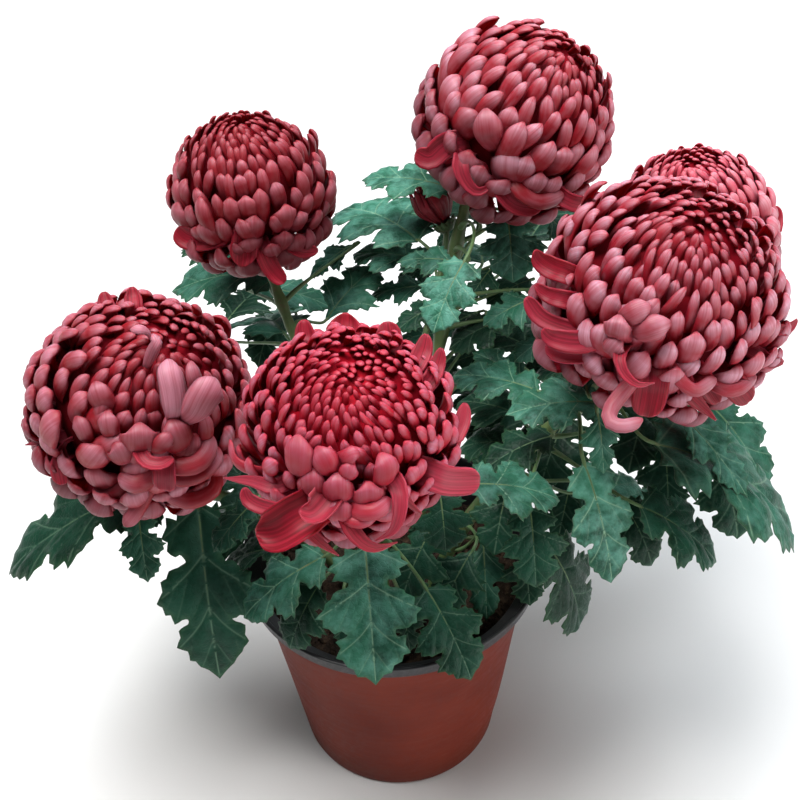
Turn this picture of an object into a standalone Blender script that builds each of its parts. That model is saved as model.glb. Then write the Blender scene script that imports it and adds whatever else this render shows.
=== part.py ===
# A potted chrysanthemum with six large incurved blooms and one half-open bud,
# in a two-layer tapered nursery pot. Metres, +Z up. The origin is the centre of
# the pot's flat base, and the front of the plant looks toward -Y.

import bpy
import bmesh
import math
import numpy as np
from mathutils.geometry import delaunay_2d_cdt

for old in list(bpy.data.objects):
    bpy.data.objects.remove(old, do_unlink=True)

# ---------------------------------------------------------------- dimensions
POT_R = 0.090          # outer radius of the collar
POT_H = 0.155          # height of the lip above the base
COLLAR_H = 0.010       # height of the collar
BASE_R = 0.0620        # outer radius at the base
BODY_R = 0.0814        # outer radius of the body just under the collar
SHELL_T = 0.0012       # wall of the outer shell
LINING_T = 0.0010      # wall of the inner lining
GAP = 0.0003           # gap between neighbouring pieces
SOIL_Z = 0.130         # soil level at the wall
POT_SEGS = 40
HOLE_R = 0.0040        # drainage holes
HOLE_RING = 0.043
HOLES = 8

# ------------------------------------------------- sight lines of the layout
# Blooms and leaves are placed along the sight lines of one viewpoint, 0.81 m
# from the rim and 48 degrees above it. A place is given by its position
# (u, v) on a picture plane 800 wide, plus its height above the base or its
# distance from the viewpoint.
FOCAL = 1330.0
ELEV = math.radians(48.0)
DIST = 0.81
ROLL = math.radians(-2.98)


def turn(axis, t):
    axis = np.asarray(axis, float)
    axis = axis / np.linalg.norm(axis)
    k = np.array([[0, -axis[2], axis[1]], [axis[2], 0, -axis[0]], [-axis[1], axis[0], 0]])
    return np.eye(3) + math.sin(t) * k + (1 - math.cos(t)) * k @ k


def viewpoint():
    back = np.array([0.0, -math.cos(ELEV), math.sin(ELEV)])
    eye = np.array([0.0, 0.0, POT_H - COLLAR_H]) + back * DIST
    right = np.array([1.0, 0.0, 0.0])
    up = np.cross(back, right)
    m = np.stack([right, up, back], 1)
    pan = math.atan((384.2 - 400) / FOCAL)
    tip = math.atan((559.0 - 400) / math.hypot(FOCAL, 384.2 - 400))
    m = turn(m[:, 0], tip) @ m
    m = turn(m[:, 1], pan) @ m
    m = turn(m[:, 2], ROLL) @ m
    return eye, m


EYE, VIEW = viewpoint()


def ray(u, v):
    return VIEW @ np.array([(u - 400) / FOCAL, (400 - v) / FOCAL, -1.0])


def at_depth(u, v, d):
    return EYE + ray(u, v) * d


def at_height(u, v, z):
    r = ray(u, v)
    return EYE + r * ((z - EYE[2]) / r[2])


def place(p):
    """A place on a sight line at a height, or metres where u is under 1."""
    return at_height(*p) if abs(p[0]) > 1 else np.array(p, float)


def unit(a):
    a = np.asarray(a, float)
    return a / np.linalg.norm(a)


# -------------------------------------------------------------------- blooms
# name: centre (u, v), distance, radius across, half height, crown (u, v)
BLOOMS = {
    "a": ((141, 402), 0.690, 0.0612, 0.0550, (165, 346)),
    "b": ((350, 430), 0.620, 0.0532, 0.0495, (352, 379)),
    "c": ((660, 297), 0.650, 0.0630, 0.0570, (702, 225)),
    "d": ((694, 230), 0.775, 0.0515, 0.0480, (688, 160)),
    "e": ((516, 121), 0.736, 0.0570, 0.0545, (568, 52)),
    "f": ((251, 193), 0.775, 0.0495, 0.0465, (236, 122)),
}


def bloom_frame(key):
    (u, v), d, a, b, (pu, pv) = BLOOMS[key]
    c = at_depth(u, v, d)
    r = unit(ray(pu, pv))
    oc = EYE - c
    k = float(r @ oc)
    q = k * k - float(oc @ oc) + b * b
    t = -k - math.sqrt(max(q, 0.0))
    n = unit(EYE + r * t - c)
    return c, n, a, b


# --------------------------------------------------------------------- stems
# name: foot on the soil (x, y), radius at the foot, radius at the top, sway
STEMS = {
    "a": ((-0.026, -0.006), 0.0036, 0.0030, (-0.030, 0.004)),
    "b": ((-0.006, -0.024), 0.0036, 0.0030, (0.000, 0.012)),
    "c": ((0.024, -0.012), 0.0038, 0.0032, (0.020, 0.010)),
    "d": ((0.034, 0.016), 0.0034, 0.0028, (0.030, 0.012)),
    "e": ((0.016, 0.026), 0.0036, 0.0030, (0.008, 0.006)),
    "f": ((-0.018, 0.018), 0.0034, 0.0028, (-0.004, 0.010)),
}
ROOT = 0.012           # depth of each stem's foot in the soil
CUP_R = 0.0125         # radius of the cup of bracts under a bloom
CUP_H = 0.0090
SEAT = 0.66            # the cup meets the florets this far below the centre


def bezier(p, t):
    t = np.atleast_1d(t)[:, None]
    return ((1 - t) ** 3) * p[0] + 3 * t * (1 - t) ** 2 * p[1] + 3 * t * t * (1 - t) * p[2] + t ** 3 * p[3]


def bezier_dir(p, t):
    t = np.atleast_1d(t)[:, None]
    d = 3 * (1 - t) ** 2 * (p[1] - p[0]) + 6 * t * (1 - t) * (p[2] - p[1]) + 3 * t * t * (p[3] - p[2])
    return d / np.linalg.norm(d, axis=1)[:, None]


BUD = dict(base=((444, 222), 0.792), top=((424, 186), 0.786), r=0.0125)


def soil_height(x, y):
    r = np.hypot(x, y)
    return SOIL_Z + 0.004 * (1 - (r / 0.077) ** 2) + 0.0012 * np.sin(90 * x + 1.3) * np.cos(80 * y)


def stem_curve(key):
    """Four control points from the soil's surface to the underside of the florets."""
    if key == "bud":
        top = at_depth(*BUD["base"][0], BUD["base"][1])
        ax = unit(at_depth(*BUD["top"][0], BUD["top"][1]) - top)
        foot, sway = (-0.003, 0.012), (-0.004, 0.008)
        top = top - ax * GAP
        reach = 0.02
    else:
        c, ax, a, b = bloom_frame(key)
        foot, _, _, sway = STEMS[key]
        top = c - ax * (b * SEAT + GAP)
        reach = 0.045
    p0 = np.array([foot[0], foot[1], float(soil_height(*foot))])
    p1 = p0 + np.array([sway[0], sway[1], 0.075])
    p2 = top - ax * reach
    return np.array([p0, p1, p2, top]), ax


# -------------------------------------------------------------------- leaves
# name: stem, place along it 0..1, blade base (u, v, z), blade tip (u, v, z),
#       roll in degrees, width factor, arch, outline
LEAVES = {
    "01": ("a", 0.66, (150, 492, 0.216), (8, 575, 0.165), 0, 0.92, 0.10, 5),
    "02": ("a", 0.60, (138, 512, 0.228), (148, 583, 0.196), 0, 0.80, 0.06, 5),
    "03": ("a", 0.50, (198, 503, 0.208), (220, 680, 0.118), 0, 0.95, 0.12, 5),
    "04": ("a", 0.40, (254, 502, 0.236), (213, 552, 0.218), 0, 1.00, 0.06, 5),
    "05": ("b", 0.48, (325, 556, 0.210), (243, 618, 0.178), 0, 1.00, 0.08, 5),
    "06": ("b", 0.58, (365, 545, 0.216), (376, 686, 0.165), 0, 0.95, 0.10, 5),
    "07": ("b", 0.40, (426, 588, 0.194), (472, 681, 0.160), 0, 1.00, 0.08, 5),
    "08": ("c", 0.14, (483, 536, 0.180), (487, 622, 0.148), 0, 0.70, 0.06, 3),
    "09": ("c", 0.46, (548, 545, 0.222), (580, 630, 0.165), 0, 1.15, 0.08, 5),
    "10": ("c", 0.52, (530, 508, 0.246), (536, 588, 0.212), 0, 1.10, 0.08, 5),
    "11": ("c", 0.66, (584, 462, 0.262), (612, 584, 0.205), 0, 0.85, 0.08, 5),
    "12": ("c", 0.52, (640, 506, 0.234), (717, 562, 0.198), 0, 1.10, 0.08, 5),
    "13": ("c", 0.76, (654, 443, 0.270), (794, 541, 0.195), 0, 0.95, 0.12, 5),
    "14": ("d", 0.60, (706, 400, 0.238), (768, 491, 0.198), 0, 0.95, 0.08, 5),
    "15": ("c", 0.82, (676, 410, 0.276), (748, 497, 0.250), 0, 0.60, 0.06, 3),
    "16": ("c", 0.86, (606, 403, 0.284), (505, 415, 0.280), 0, 1.00, 0.08, 5),
    "17": ("c", 0.84, (588, 394, 0.302), (574, 347, 0.304), 0, 1.00, 0.06, 3),
    "18": ("c", 0.80, (597, 410, 0.292), (604, 474, 0.264), 0, 0.80, 0.06, 3),
    "19": ("c", 0.68, (538, 391, 0.268), (451, 376, 0.262), 0, 0.95, 0.08, 5),
    "20": ("d", 0.44, (530, 386, 0.250), (472, 352, 0.256), 0, 1.00, 0.06, 3),
    "21": ("b", 0.74, (470, 484, 0.270), (561, 500, 0.254), 0, 1.10, 0.08, 5),
    "22": ("b", 0.52, (440, 494, 0.236), (446, 552, 0.212), 0, 1.35, 0.08, 5),
    "23": ("e", 0.76, (465, 260, 0.334), (433, 334, 0.308), 0, 1.15, 0.08, 5),
    "24": ("e", 0.82, (508, 218, 0.318), (513, 283, 0.294), 0, 1.40, 0.08, 5),
    "25": ("e", 0.66, (419, 240, 0.298), (343, 208, 0.286), 0, 1.15, 0.08, 5),
    "26": ("e", 0.58, (428, 262, 0.280), (352, 254, 0.270), 0, 1.00, 0.06, 5),
    "27": ("e", 0.86, (452, 189, 0.332), (361, 180, 0.327), 0, 0.90, 0.08, 5),
    "28": ("e", 0.58, (538, 297, 0.300), (483, 326, 0.286), 0, 1.20, 0.06, 3),
    "29": ("d", 0.54, (558, 330, 0.276), (514, 362, 0.262), 0, 1.20, 0.06, 3),
    "30": ("e", 0.70, (460, 262, 0.314), (396, 262, 0.308), 0, 1.00, 0.06, 3),
    "31": ("f", 0.66, (326, 320, 0.250), (378, 266, 0.262), 0, 1.10, 0.08, 3),
    "32": ("e", 0.50, (430, 286, 0.258), (370, 296, 0.248), 0, 1.00, 0.06, 3),
    "33": ("f", 0.84, (280, 274, 0.262), (172, 292, 0.245), 0, 1.10, 0.08, 5),
    "34": ("f", 0.72, (258, 288, 0.230), (332, 308, 0.220), 0, 0.95, 0.08, 5),
    "35": ("f", 0.74, (354, 244, 0.280), (309, 278, 0.262), 0, 0.90, 0.06, 3),
    "36": ("f", 0.56, (-0.062, 0.136, 0.216), (-0.088, 0.206, 0.170), 0, 0.95, 0.10, 5),
    "37": ("e", 0.60, (0.066, 0.140, 0.262), (0.070, 0.214, 0.214), 0, 0.95, 0.10, 5),
    "38": ("d", 0.72, (0.176, 0.124, 0.216), (0.206, 0.192, 0.164), 0, 0.95, 0.10, 5),
    "39": ("e", 0.34, (0.042, 0.090, 0.196), (0.058, 0.162, 0.150), 0, 1.00, 0.10, 5),
    "40": ("f", 0.36, (-0.050, 0.080, 0.186), (-0.092, 0.142, 0.142), 0, 1.00, 0.10, 5),
    "41": ("a", 0.48, (-0.112, 0.028, 0.198), (-0.172, 0.078, 0.152), 0, 1.00, 0.10, 5),
    "42": ("d", 0.38, (0.108, 0.072, 0.196), (0.166, 0.126, 0.148), 0, 1.00, 0.10, 5),
    "43": ("c", 0.40, (0.108, 0.002, 0.192), (0.176, 0.014, 0.148), 0, 0.95, 0.10, 5),
}

# outline of half a blade: (along, across) as fractions of the blade's length
HALF = {
    5: [(0.00, 0.016), (0.05, 0.12), (0.15, 0.27), (0.25, 0.25), (0.29, 0.12), (0.34, 0.22),
        (0.45, 0.37), (0.57, 0.34), (0.61, 0.16), (0.68, 0.24), (0.79, 0.22), (0.90, 0.11)],
    3: [(0.00, 0.016), (0.10, 0.07), (0.24, 0.16), (0.33, 0.34), (0.47, 0.38), (0.53, 0.30),
        (0.56, 0.16), (0.66, 0.23), (0.80, 0.20), (0.91, 0.10)],
}
LEAF_T = 0.0009
STALK_W = 0.0030


class Leaf:
    """The curved sheet of one leaf. s runs from 0 at the blade's base to 1 at its
    tip and is negative along the stalk; x is the distance across, in metres."""

    def __init__(self, key):
        stem, t, base, tip, roll, wide, arch, kind = LEAVES[key]
        self.key, self.wide, self.kind, self.arch = key, wide, kind, arch
        self.p0, self.p1 = place(base), place(tip)
        c = self.p1 - self.p0
        self.length = float(np.linalg.norm(c))
        c = c / self.length
        up = np.array([0.0, 0.0, 1.0])
        side = np.cross(c, up)
        if np.linalg.norm(side) < 0.2:
            side = np.array([1.0, 0.0, 0.0])
        side = unit(side - c * (side @ c))
        side = turn(c, math.radians(roll)) @ side
        self.c, self.side, self.nrm = c, side, np.cross(side, c)
        pts, ax = stem_curve(stem)
        p = bezier(pts, t)[0]
        d = bezier_dir(pts, t)[0]
        out = self.p0 - p
        gap = float(np.linalg.norm(out))
        out = out / gap
        flat = out - d * float(out @ d)
        flat = unit(flat) if np.linalg.norm(flat) > 1e-6 else np.array([1.0, 0, 0])
        r = 0.0036
        root = p + flat * (r + GAP + 0.0002)
        start = unit(flat * 0.9 + d * 0.5)
        slope = unit(c + self.nrm * 4 * arch)
        reach = float(np.linalg.norm(self.p0 - root))
        self.stalk = np.array([root, root + start * reach * 0.33, self.p0 - slope * reach * 0.33, self.p0])
        self.stalk_len = reach
        # frames along the stalk, carried back from the blade's base
        ts = np.linspace(1, 0, 25)
        dirs = bezier_dir(self.stalk, ts)
        sides = [self.side]
        for i in range(1, len(ts)):
            v = sides[-1] - dirs[i] * float(sides[-1] @ dirs[i])
            sides.append(unit(v))
        self.ts, self.sides = ts[::-1], np.array(sides)[::-1]

    def point(self, s, x, lift=0.0):
        if s >= 0:
            mid = self.p0 + self.c * (s * self.length) + self.nrm * (self.arch * self.length * 4 * s * (1 - s))
            tan = unit(self.c + self.nrm * self.arch * 4 * (1 - 2 * s))
            nrm = np.cross(self.side, tan)
            a = abs(x) / self.length
            rise = self.length * (0.16 * a - 0.55 * a * a)
            return mid + self.side * x + nrm * (rise + lift)
        t = max(0.0, 1 + s * self.length / self.stalk_len)
        mid = bezier(self.stalk, t)[0]
        tan = bezier_dir(self.stalk, t)[0]
        side = np.array([np.interp(t, self.ts, self.sides[:, i]) for i in range(3)])
        side = unit(side - tan * float(side @ tan))
        nrm = np.cross(side, tan)
        return mid + side * x + nrm * lift


# ----------------------------------------------------------------- materials
def material(name, rgb, rough, metal=0.0):
    m = bpy.data.materials.new(name)
    m.use_nodes = True
    b = m.node_tree.nodes["Principled BSDF"]
    b.inputs["Base Color"].default_value = (*[(c / 255) ** 2.2 for c in rgb], 1.0)
    b.inputs["Roughness"].default_value = rough
    b.inputs["Metallic"].default_value = metal
    m.diffuse_color = (*[(c / 255) ** 2.2 for c in rgb], 1.0)
    return m


TERRACOTTA = material("terracotta_plastic", (128, 66, 52), 0.45)
BLACK = material("black_plastic", (28, 28, 31), 0.5)
SOIL = material("dark_soil", (38, 29, 22), 0.95)
STEM = material("green_stem", (88, 110, 66), 0.6)
PETAL = material("rose_florets", (150, 52, 66), 0.6)
BUDRED = material("crimson_florets", (110, 20, 34), 0.6)
LEAF = material("blue_green_leaf", (58, 94, 74), 0.6)


def add(name, verts, faces, mat, smooth=30):
    me = bpy.data.meshes.new(name)
    me.from_pydata([tuple(map(float, v)) for v in verts], [], [tuple(f) for f in faces])
    bm = bmesh.new()
    bm.from_mesh(me)
    bmesh.ops.recalc_face_normals(bm, faces=bm.faces)
    bm.to_mesh(me)
    bm.free()
    me.materials.append(mat)
    ob = bpy.data.objects.new(name, me)
    bpy.context.scene.collection.objects.link(ob)
    if smooth:
        me.shade_smooth()
        me.set_sharp_from_angle(angle=math.radians(smooth))
    return ob


def lathe(name, profile, segs, mat, smooth=35):
    """Turn a closed profile that starts and ends on the axis."""
    verts, rings = [], []
    for r, z in profile:
        if r < 1e-9:
            rings.append([len(verts)])
            verts.append((0, 0, z))
        else:
            rings.append(list(range(len(verts), len(verts) + segs)))
            for j in range(segs):
                a = 2 * math.pi * j / segs
                verts.append((r * math.cos(a), r * math.sin(a), z))
    faces = []
    for a, b in zip(rings, rings[1:]):
        for j in range(segs):
            k = (j + 1) % segs
            if len(a) == 1:
                faces.append((a[0], b[k], b[j]))
            elif len(b) == 1:
                faces.append((a[j], a[k], b[0]))
            else:
                faces.append((a[j], a[k], b[k], b[j]))
    return add(name, verts, faces, mat, smooth)


def wall(z):
    """Outer radius of the pot's body at a height."""
    return BASE_R + (BODY_R - BASE_R) * z / (POT_H - COLLAR_H)


# ----------------------------------------------------------------------- pot
def build_pot():
    top = POT_H - COLLAR_H - GAP
    shell = lathe("pot_outer_shell", [
        (0, 0), (BASE_R - 0.0035, 0), (BASE_R - 0.0008, 0.0010), (wall(0.0035), 0.0035),
        (wall(top), top), (wall(top) - SHELL_T, top),
        (wall(0.004) - SHELL_T, 0.004), (wall(0.004) - SHELL_T - 0.0022, 0.0014), (0, 0.0014)],
        POT_SEGS, TERRACOTTA)
    z0 = 0.0014 + GAP
    out = SHELL_T + GAP
    inn = out + LINING_T
    step = POT_H - COLLAR_H
    lining = lathe("pot_lining_and_rim", [
        (0, z0), (wall(0.0045) - out - 0.0028, z0), (wall(0.0045) - out - 0.0002, 0.0045),
        (wall(step) - out, step - 0.0002), (wall(step) - out + 0.0002, step),
        (0.0888, step), (0.0896, POT_H - 0.0014), (POT_R, POT_H - 0.0008), (POT_R - 0.0006, POT_H),
        (POT_R - 0.0018, POT_H), (POT_R - 0.0024, POT_H - 0.0006), (0.0868, step + 0.0022),
        (0.0862, step + 0.0014), (wall(step) - inn + 0.0006, step + 0.0014),
        (wall(step) - inn, step + 0.0006),
        (wall(0.0055) - inn, 0.0055), (wall(0.0055) - inn - 0.0025, z0 + LINING_T), (0, z0 + LINING_T)],
        POT_SEGS, BLACK)
    bm = bmesh.new()
    for i in range(HOLES):
        a = 2 * math.pi * (i + 0.5) / HOLES
        r = bmesh.ops.create_cone(bm, cap_ends=True, segments=12, radius1=HOLE_R, radius2=HOLE_R, depth=0.02)
        bmesh.ops.translate(bm, verts=r["verts"], vec=(HOLE_RING * math.cos(a), HOLE_RING * math.sin(a), 0.0))
    me = bpy.data.meshes.new("drain_cutter")
    bm.to_mesh(me)
    bm.free()
    cutter = bpy.data.objects.new("drain_cutter", me)
    bpy.context.scene.collection.objects.link(cutter)
    cutter.hide_render = True
    cutter.display_type = "WIRE"
    for ob in (shell, lining):
        mod = ob.modifiers.new("drain", "BOOLEAN")
        mod.operation = "DIFFERENCE"
        mod.solver = "EXACT"
        mod.object = cutter


def build_soil():
    bottom = 0.0014 + GAP + LINING_T + GAP
    edge = SHELL_T + GAP + LINING_T + 0.0004
    segs = POT_SEGS
    verts = [(0, 0, bottom)]
    radii = [wall(0.008) - edge - 0.003, wall(0.008) - edge, wall(SOIL_Z) - edge]
    zs = [bottom, 0.008, SOIL_Z]
    faces = []
    rings = []
    for r, z in zip(radii, zs):
        rings.append(len(verts))
        for j in range(segs):
            a = 2 * math.pi * j / segs
            verts.append((r * math.cos(a), r * math.sin(a), z))
    for r in (0.062, 0.046, 0.030, 0.015):
        rings.append(len(verts))
        for j in range(segs):
            a = 2 * math.pi * j / segs
            x, y = r * math.cos(a), r * math.sin(a)
            verts.append((x, y, float(soil_height(x, y))))
    apex = len(verts)
    verts.append((0, 0, float(soil_height(0, 0))))
    for j in range(segs):
        k = (j + 1) % segs
        faces.append((0, rings[0] + k, rings[0] + j))
        for a, b in zip(rings, rings[1:]):
            faces.append((a + j, a + k, b + k, b + j))
        faces.append((rings[-1] + j, rings[-1] + k, apex))
    soil = add("potting_soil", verts, faces, SOIL, 40)
    bm = bmesh.new()
    for key in list(STEMS) + ["bud"]:
        pts, _ = stem_curve(key)
        rad = STEMS[key][1] if key in STEMS else 0.0022
        ring = []
        d = unit(pts[1] - pts[0])
        sx = unit(np.cross(d, (0.3, 1.0, 0.1)))
        sy = np.cross(d, sx)
        for p in (pts[0] - d * (ROOT + 0.0005), pts[0] + d * 0.02):
            ring.append([bm.verts.new(p + (rad + 0.0007) * (math.cos(2 * math.pi * j / 10) * sx + math.sin(2 * math.pi * j / 10) * sy))
                         for j in range(10)])
        for j in range(10):
            k = (j + 1) % 10
            bm.faces.new((ring[0][j], ring[0][k], ring[1][k], ring[1][j]))
        bm.faces.new(ring[0][::-1])
        bm.faces.new(ring[1])
    bmesh.ops.recalc_face_normals(bm, faces=bm.faces)
    me = bpy.data.meshes.new("stem_holes")
    bm.to_mesh(me)
    bm.free()
    cutter = bpy.data.objects.new("stem_holes", me)
    bpy.context.scene.collection.objects.link(cutter)
    cutter.hide_render = True
    cutter.display_type = "WIRE"
    mod = soil.modifiers.new("stems", "BOOLEAN")
    mod.operation = "DIFFERENCE"
    mod.solver = "EXACT"
    mod.object = cutter


def tube(name, pts, dirs, radii, segs, mat):
    """A closed round tube; its frame is carried along the curve."""
    side = unit(np.cross(dirs[0], (0.3, 1.0, 0.1)))
    verts, faces = [], []
    for p, d, r in zip(pts, dirs, radii):
        side = unit(side - d * float(side @ d))
        other = np.cross(d, side)
        for j in range(segs):
            a = 2 * math.pi * j / segs
            verts.append(p + r * (math.cos(a) * side + math.sin(a) * other))
    n = len(pts)
    for i in range(n - 1):
        for j in range(segs):
            k = (j + 1) % segs
            faces.append((i * segs + j, i * segs + k, (i + 1) * segs + k, (i + 1) * segs + j))
    faces.append(tuple(range(segs))[::-1])
    faces.append(tuple(range((n - 1) * segs, n * segs)))
    return add(name, verts, faces, mat, 50)


def build_stem(key):
    pts, ax = stem_curve(key)
    if key == "bud":
        r0, r1, cup, cup_h = 0.0022, 0.0017, 0.0062, 0.0060
    else:
        r0, r1, cup, cup_h = STEMS[key][1], STEMS[key][2], CUP_R, CUP_H
    total = float(np.linalg.norm(np.diff(bezier(pts, np.linspace(0, 1, 40)), axis=0), axis=1).sum())
    t_cup = 1 - cup_h / total
    ts = [0.0, 0.05] + list(np.linspace(0, t_cup, 8))[1:]
    p = list(bezier(pts, ts))
    d = list(bezier_dir(pts, ts))
    rad = [r0 + (r1 - r0) * t / t_cup for t in ts]
    p.insert(0, p[0] - d[0] * ROOT)
    d.insert(0, d[0])
    rad.insert(0, r0)
    for f, g in ((0.25, 0.55), (0.60, 0.88), (1.0, 1.0)):
        p.append(pts[3] - ax * cup_h * (1 - f))
        d.append(ax)
        rad.append(cup * g)
    return tube("stem_" + key, p, d, rad, 8, STEM)


def build_bloom(key):
    """A closed ball of blunt scales round its own axis, flat where the cup sits."""
    c, n, a, b = bloom_frame(key)
    x = unit(np.cross(n, (0.2, 1.0, 0.3)))
    y = np.cross(n, x)
    segs, rows = 20, 11
    verts, faces = [c + n * b * 0.97], []
    for i in range(1, rows + 1):
        th = math.radians(13.2 * i)
        for j in range(segs):
            ph = 2 * math.pi * j / segs
            k = 1.0 if (i + j) % 2 else 0.93
            r, h = a * math.sin(th) * k, b * math.cos(th) * k
            verts.append(c + n * h + r * (x * math.cos(ph) + y * math.sin(ph)))
    for j in range(segs):
        ph = 2 * math.pi * j / segs
        verts.append(c - n * b * SEAT + CUP_R * 1.02 * (x * math.cos(ph) + y * math.sin(ph)))
    for j in range(segs):
        k = (j + 1) % segs
        faces.append((0, 1 + j, 1 + k))
        for i in range(rows):
            p, q, r, s = 1 + i * segs + j, 1 + i * segs + k, 1 + (i + 1) * segs + k, 1 + (i + 1) * segs + j
            if (i + 1 + j) % 2:
                faces += [(p, s, q), (q, s, r)]
            else:
                faces += [(p, s, r), (p, r, q)]
    faces.append(tuple(1 + rows * segs + j for j in range(segs)))
    return add("bloom_" + key, verts, faces, PETAL, 0)


def build_bud():
    base = at_depth(*BUD["base"][0], BUD["base"][1])
    top = at_depth(*BUD["top"][0], BUD["top"][1])
    ax = unit(top - base)
    length = float(np.linalg.norm(top - base))
    pts = [base + ax * length * f for f in (0, 0.2, 0.55, 0.85, 1.0)]
    rad = [BUD["r"] * f for f in (0.50, 0.86, 1.0, 0.93, 0.45)]
    return tube("bud_florets", pts, [ax] * 5, rad, 12, BUDRED)


def build_leaf(key):
    lf = Leaf(key)
    half = HALF[lf.kind]
    k = lf.wide
    w = STALK_W / 2 / lf.length
    right = [(s, w if i == 0 else t * k) for i, (s, t) in enumerate(half)]
    st = [-lf.stalk_len / lf.length * f for f in (1.0, 0.62, 0.28)]
    ring = [(s, w) for s in st] + right + [(1.0, 0.0)] + [(s, -t) for s, t in right[::-1]] + [(s, -w) for s in st[::-1]]
    inner = [(0.12, 0.0), (0.32, 0.0), (0.55, 0.0), (0.78, 0.0)]
    pts = ring + inner
    nr = len(ring)
    edges = [(i, (i + 1) % nr) for i in range(nr)]
    tip = nr // 2
    chain = [nr + i for i in range(len(inner))] + [ring.index((1.0, 0.0))]
    edges += list(zip(chain, chain[1:]))
    out = delaunay_2d_cdt([(float(a), float(b)) for a, b in pts], edges, [], 1, 1e-7)
    v2, tris = out[0], out[2]
    assert len(v2) == len(pts), key
    top, bot = [], []
    for p in v2:
        s, x = p[0], p[1] * lf.length
        top.append(lf.point(s, x, LEAF_T / 2))
        bot.append(lf.point(s, x, -LEAF_T / 2))
    n = len(v2)
    faces = []
    count = {}
    for f in tris:
        f = list(f)
        faces.append(tuple(f))
        faces.append(tuple(i + n for i in f[::-1]))
        for a, b in zip(f, f[1:] + f[:1]):
            count[(a, b)] = 1
    for a, b in count:
        if (b, a) not in count:
            faces.append((b, a, a + n, b + n))
    return add("leaf_" + key, top + bot, faces, LEAF, 0)


def main():
    build_pot()
    build_soil()
    for key in STEMS:
        build_stem(key)
        build_bloom(key)
    build_stem("bud")
    build_bud()
    for key in LEAVES:
        build_leaf(key)


main()
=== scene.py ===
# A potted chrysanthemum with six large incurved blooms and one half-open bud.
# Metres, +Z up. The origin is the centre of the pot's flat base and the front of
# the plant looks toward -Y.

import bpy
import bmesh
import math
import numpy as np
from mathutils import Matrix
from mathutils.geometry import delaunay_2d_cdt


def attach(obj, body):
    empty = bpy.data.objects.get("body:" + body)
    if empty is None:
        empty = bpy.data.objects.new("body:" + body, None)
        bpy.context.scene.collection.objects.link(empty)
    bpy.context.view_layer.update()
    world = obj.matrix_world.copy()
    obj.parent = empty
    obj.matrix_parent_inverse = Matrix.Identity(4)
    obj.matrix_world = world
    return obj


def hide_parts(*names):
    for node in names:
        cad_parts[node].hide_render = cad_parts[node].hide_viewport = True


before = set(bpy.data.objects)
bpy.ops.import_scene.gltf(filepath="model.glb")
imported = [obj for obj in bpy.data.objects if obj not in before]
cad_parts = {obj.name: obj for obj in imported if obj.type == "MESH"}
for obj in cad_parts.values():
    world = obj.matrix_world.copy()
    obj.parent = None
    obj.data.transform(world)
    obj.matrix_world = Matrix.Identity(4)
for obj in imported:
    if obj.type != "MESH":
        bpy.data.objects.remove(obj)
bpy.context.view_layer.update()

# ---------------------------------------------------------------- dimensions
POT_R = 0.090
POT_H = 0.155
COLLAR_H = 0.010
BASE_R = 0.0620
BODY_R = 0.0814
SHELL_T = 0.0012
LINING_T = 0.0010
GAP = 0.0003
SOIL_Z = 0.130
HOLE_R = 0.0040
HOLE_RING = 0.043
HOLES = 8

# sight lines of the layout
FOCAL = 1330.0
ELEV = math.radians(48.0)
DIST = 0.81
ROLL = math.radians(-2.98)


def turn(axis, t):
    axis = np.asarray(axis, float)
    axis = axis / np.linalg.norm(axis)
    k = np.array([[0, -axis[2], axis[1]], [axis[2], 0, -axis[0]], [-axis[1], axis[0], 0]])
    return np.eye(3) + math.sin(t) * k + (1 - math.cos(t)) * k @ k


def viewpoint():
    back = np.array([0.0, -math.cos(ELEV), math.sin(ELEV)])
    eye = np.array([0.0, 0.0, POT_H - COLLAR_H]) + back * DIST
    right = np.array([1.0, 0.0, 0.0])
    up = np.cross(back, right)
    m = np.stack([right, up, back], 1)
    pan = math.atan((384.2 - 400) / FOCAL)
    tip = math.atan((559.0 - 400) / math.hypot(FOCAL, 384.2 - 400))
    m = turn(m[:, 0], tip) @ m
    m = turn(m[:, 1], pan) @ m
    m = turn(m[:, 2], ROLL) @ m
    return eye, m


EYE, VIEW = viewpoint()


def ray(u, v):
    return VIEW @ np.array([(u - 400) / FOCAL, (400 - v) / FOCAL, -1.0])


def at_depth(u, v, d):
    return EYE + ray(u, v) * d


def at_height(u, v, z):
    r = ray(u, v)
    return EYE + r * ((z - EYE[2]) / r[2])


def place(p):
    """A place on a sight line at a height, or metres where u is under 1."""
    return at_height(*p) if abs(p[0]) > 1 else np.array(p, float)


def unit(a):
    a = np.asarray(a, float)
    return a / np.maximum(np.linalg.norm(a, axis=-1, keepdims=True), 1e-12)


def smooth(a, lo=0.0, hi=1.0):
    t = np.clip((np.asarray(a, float) - lo) / (hi - lo), 0, 1)
    return t * t * (3 - 2 * t)


# -------------------------------------------------------------------- layout
BLOOMS = {
    "a": ((141, 402), 0.690, 0.0612, 0.0550, (165, 346)),
    "b": ((350, 430), 0.620, 0.0532, 0.0495, (352, 379)),
    "c": ((660, 297), 0.650, 0.0630, 0.0570, (702, 225)),
    "d": ((694, 230), 0.775, 0.0515, 0.0480, (688, 160)),
    "e": ((516, 121), 0.736, 0.0570, 0.0545, (568, 52)),
    "f": ((251, 193), 0.775, 0.0495, 0.0465, (236, 122)),
}


def bloom_frame(key):
    (u, v), d, a, b, (pu, pv) = BLOOMS[key]
    c = at_depth(u, v, d)
    r = unit(ray(pu, pv))
    oc = EYE - c
    k = float(r @ oc)
    q = k * k - float(oc @ oc) + b * b
    t = -k - math.sqrt(max(q, 0.0))
    n = unit(EYE + r * t - c)
    return c, n, a, b


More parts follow.
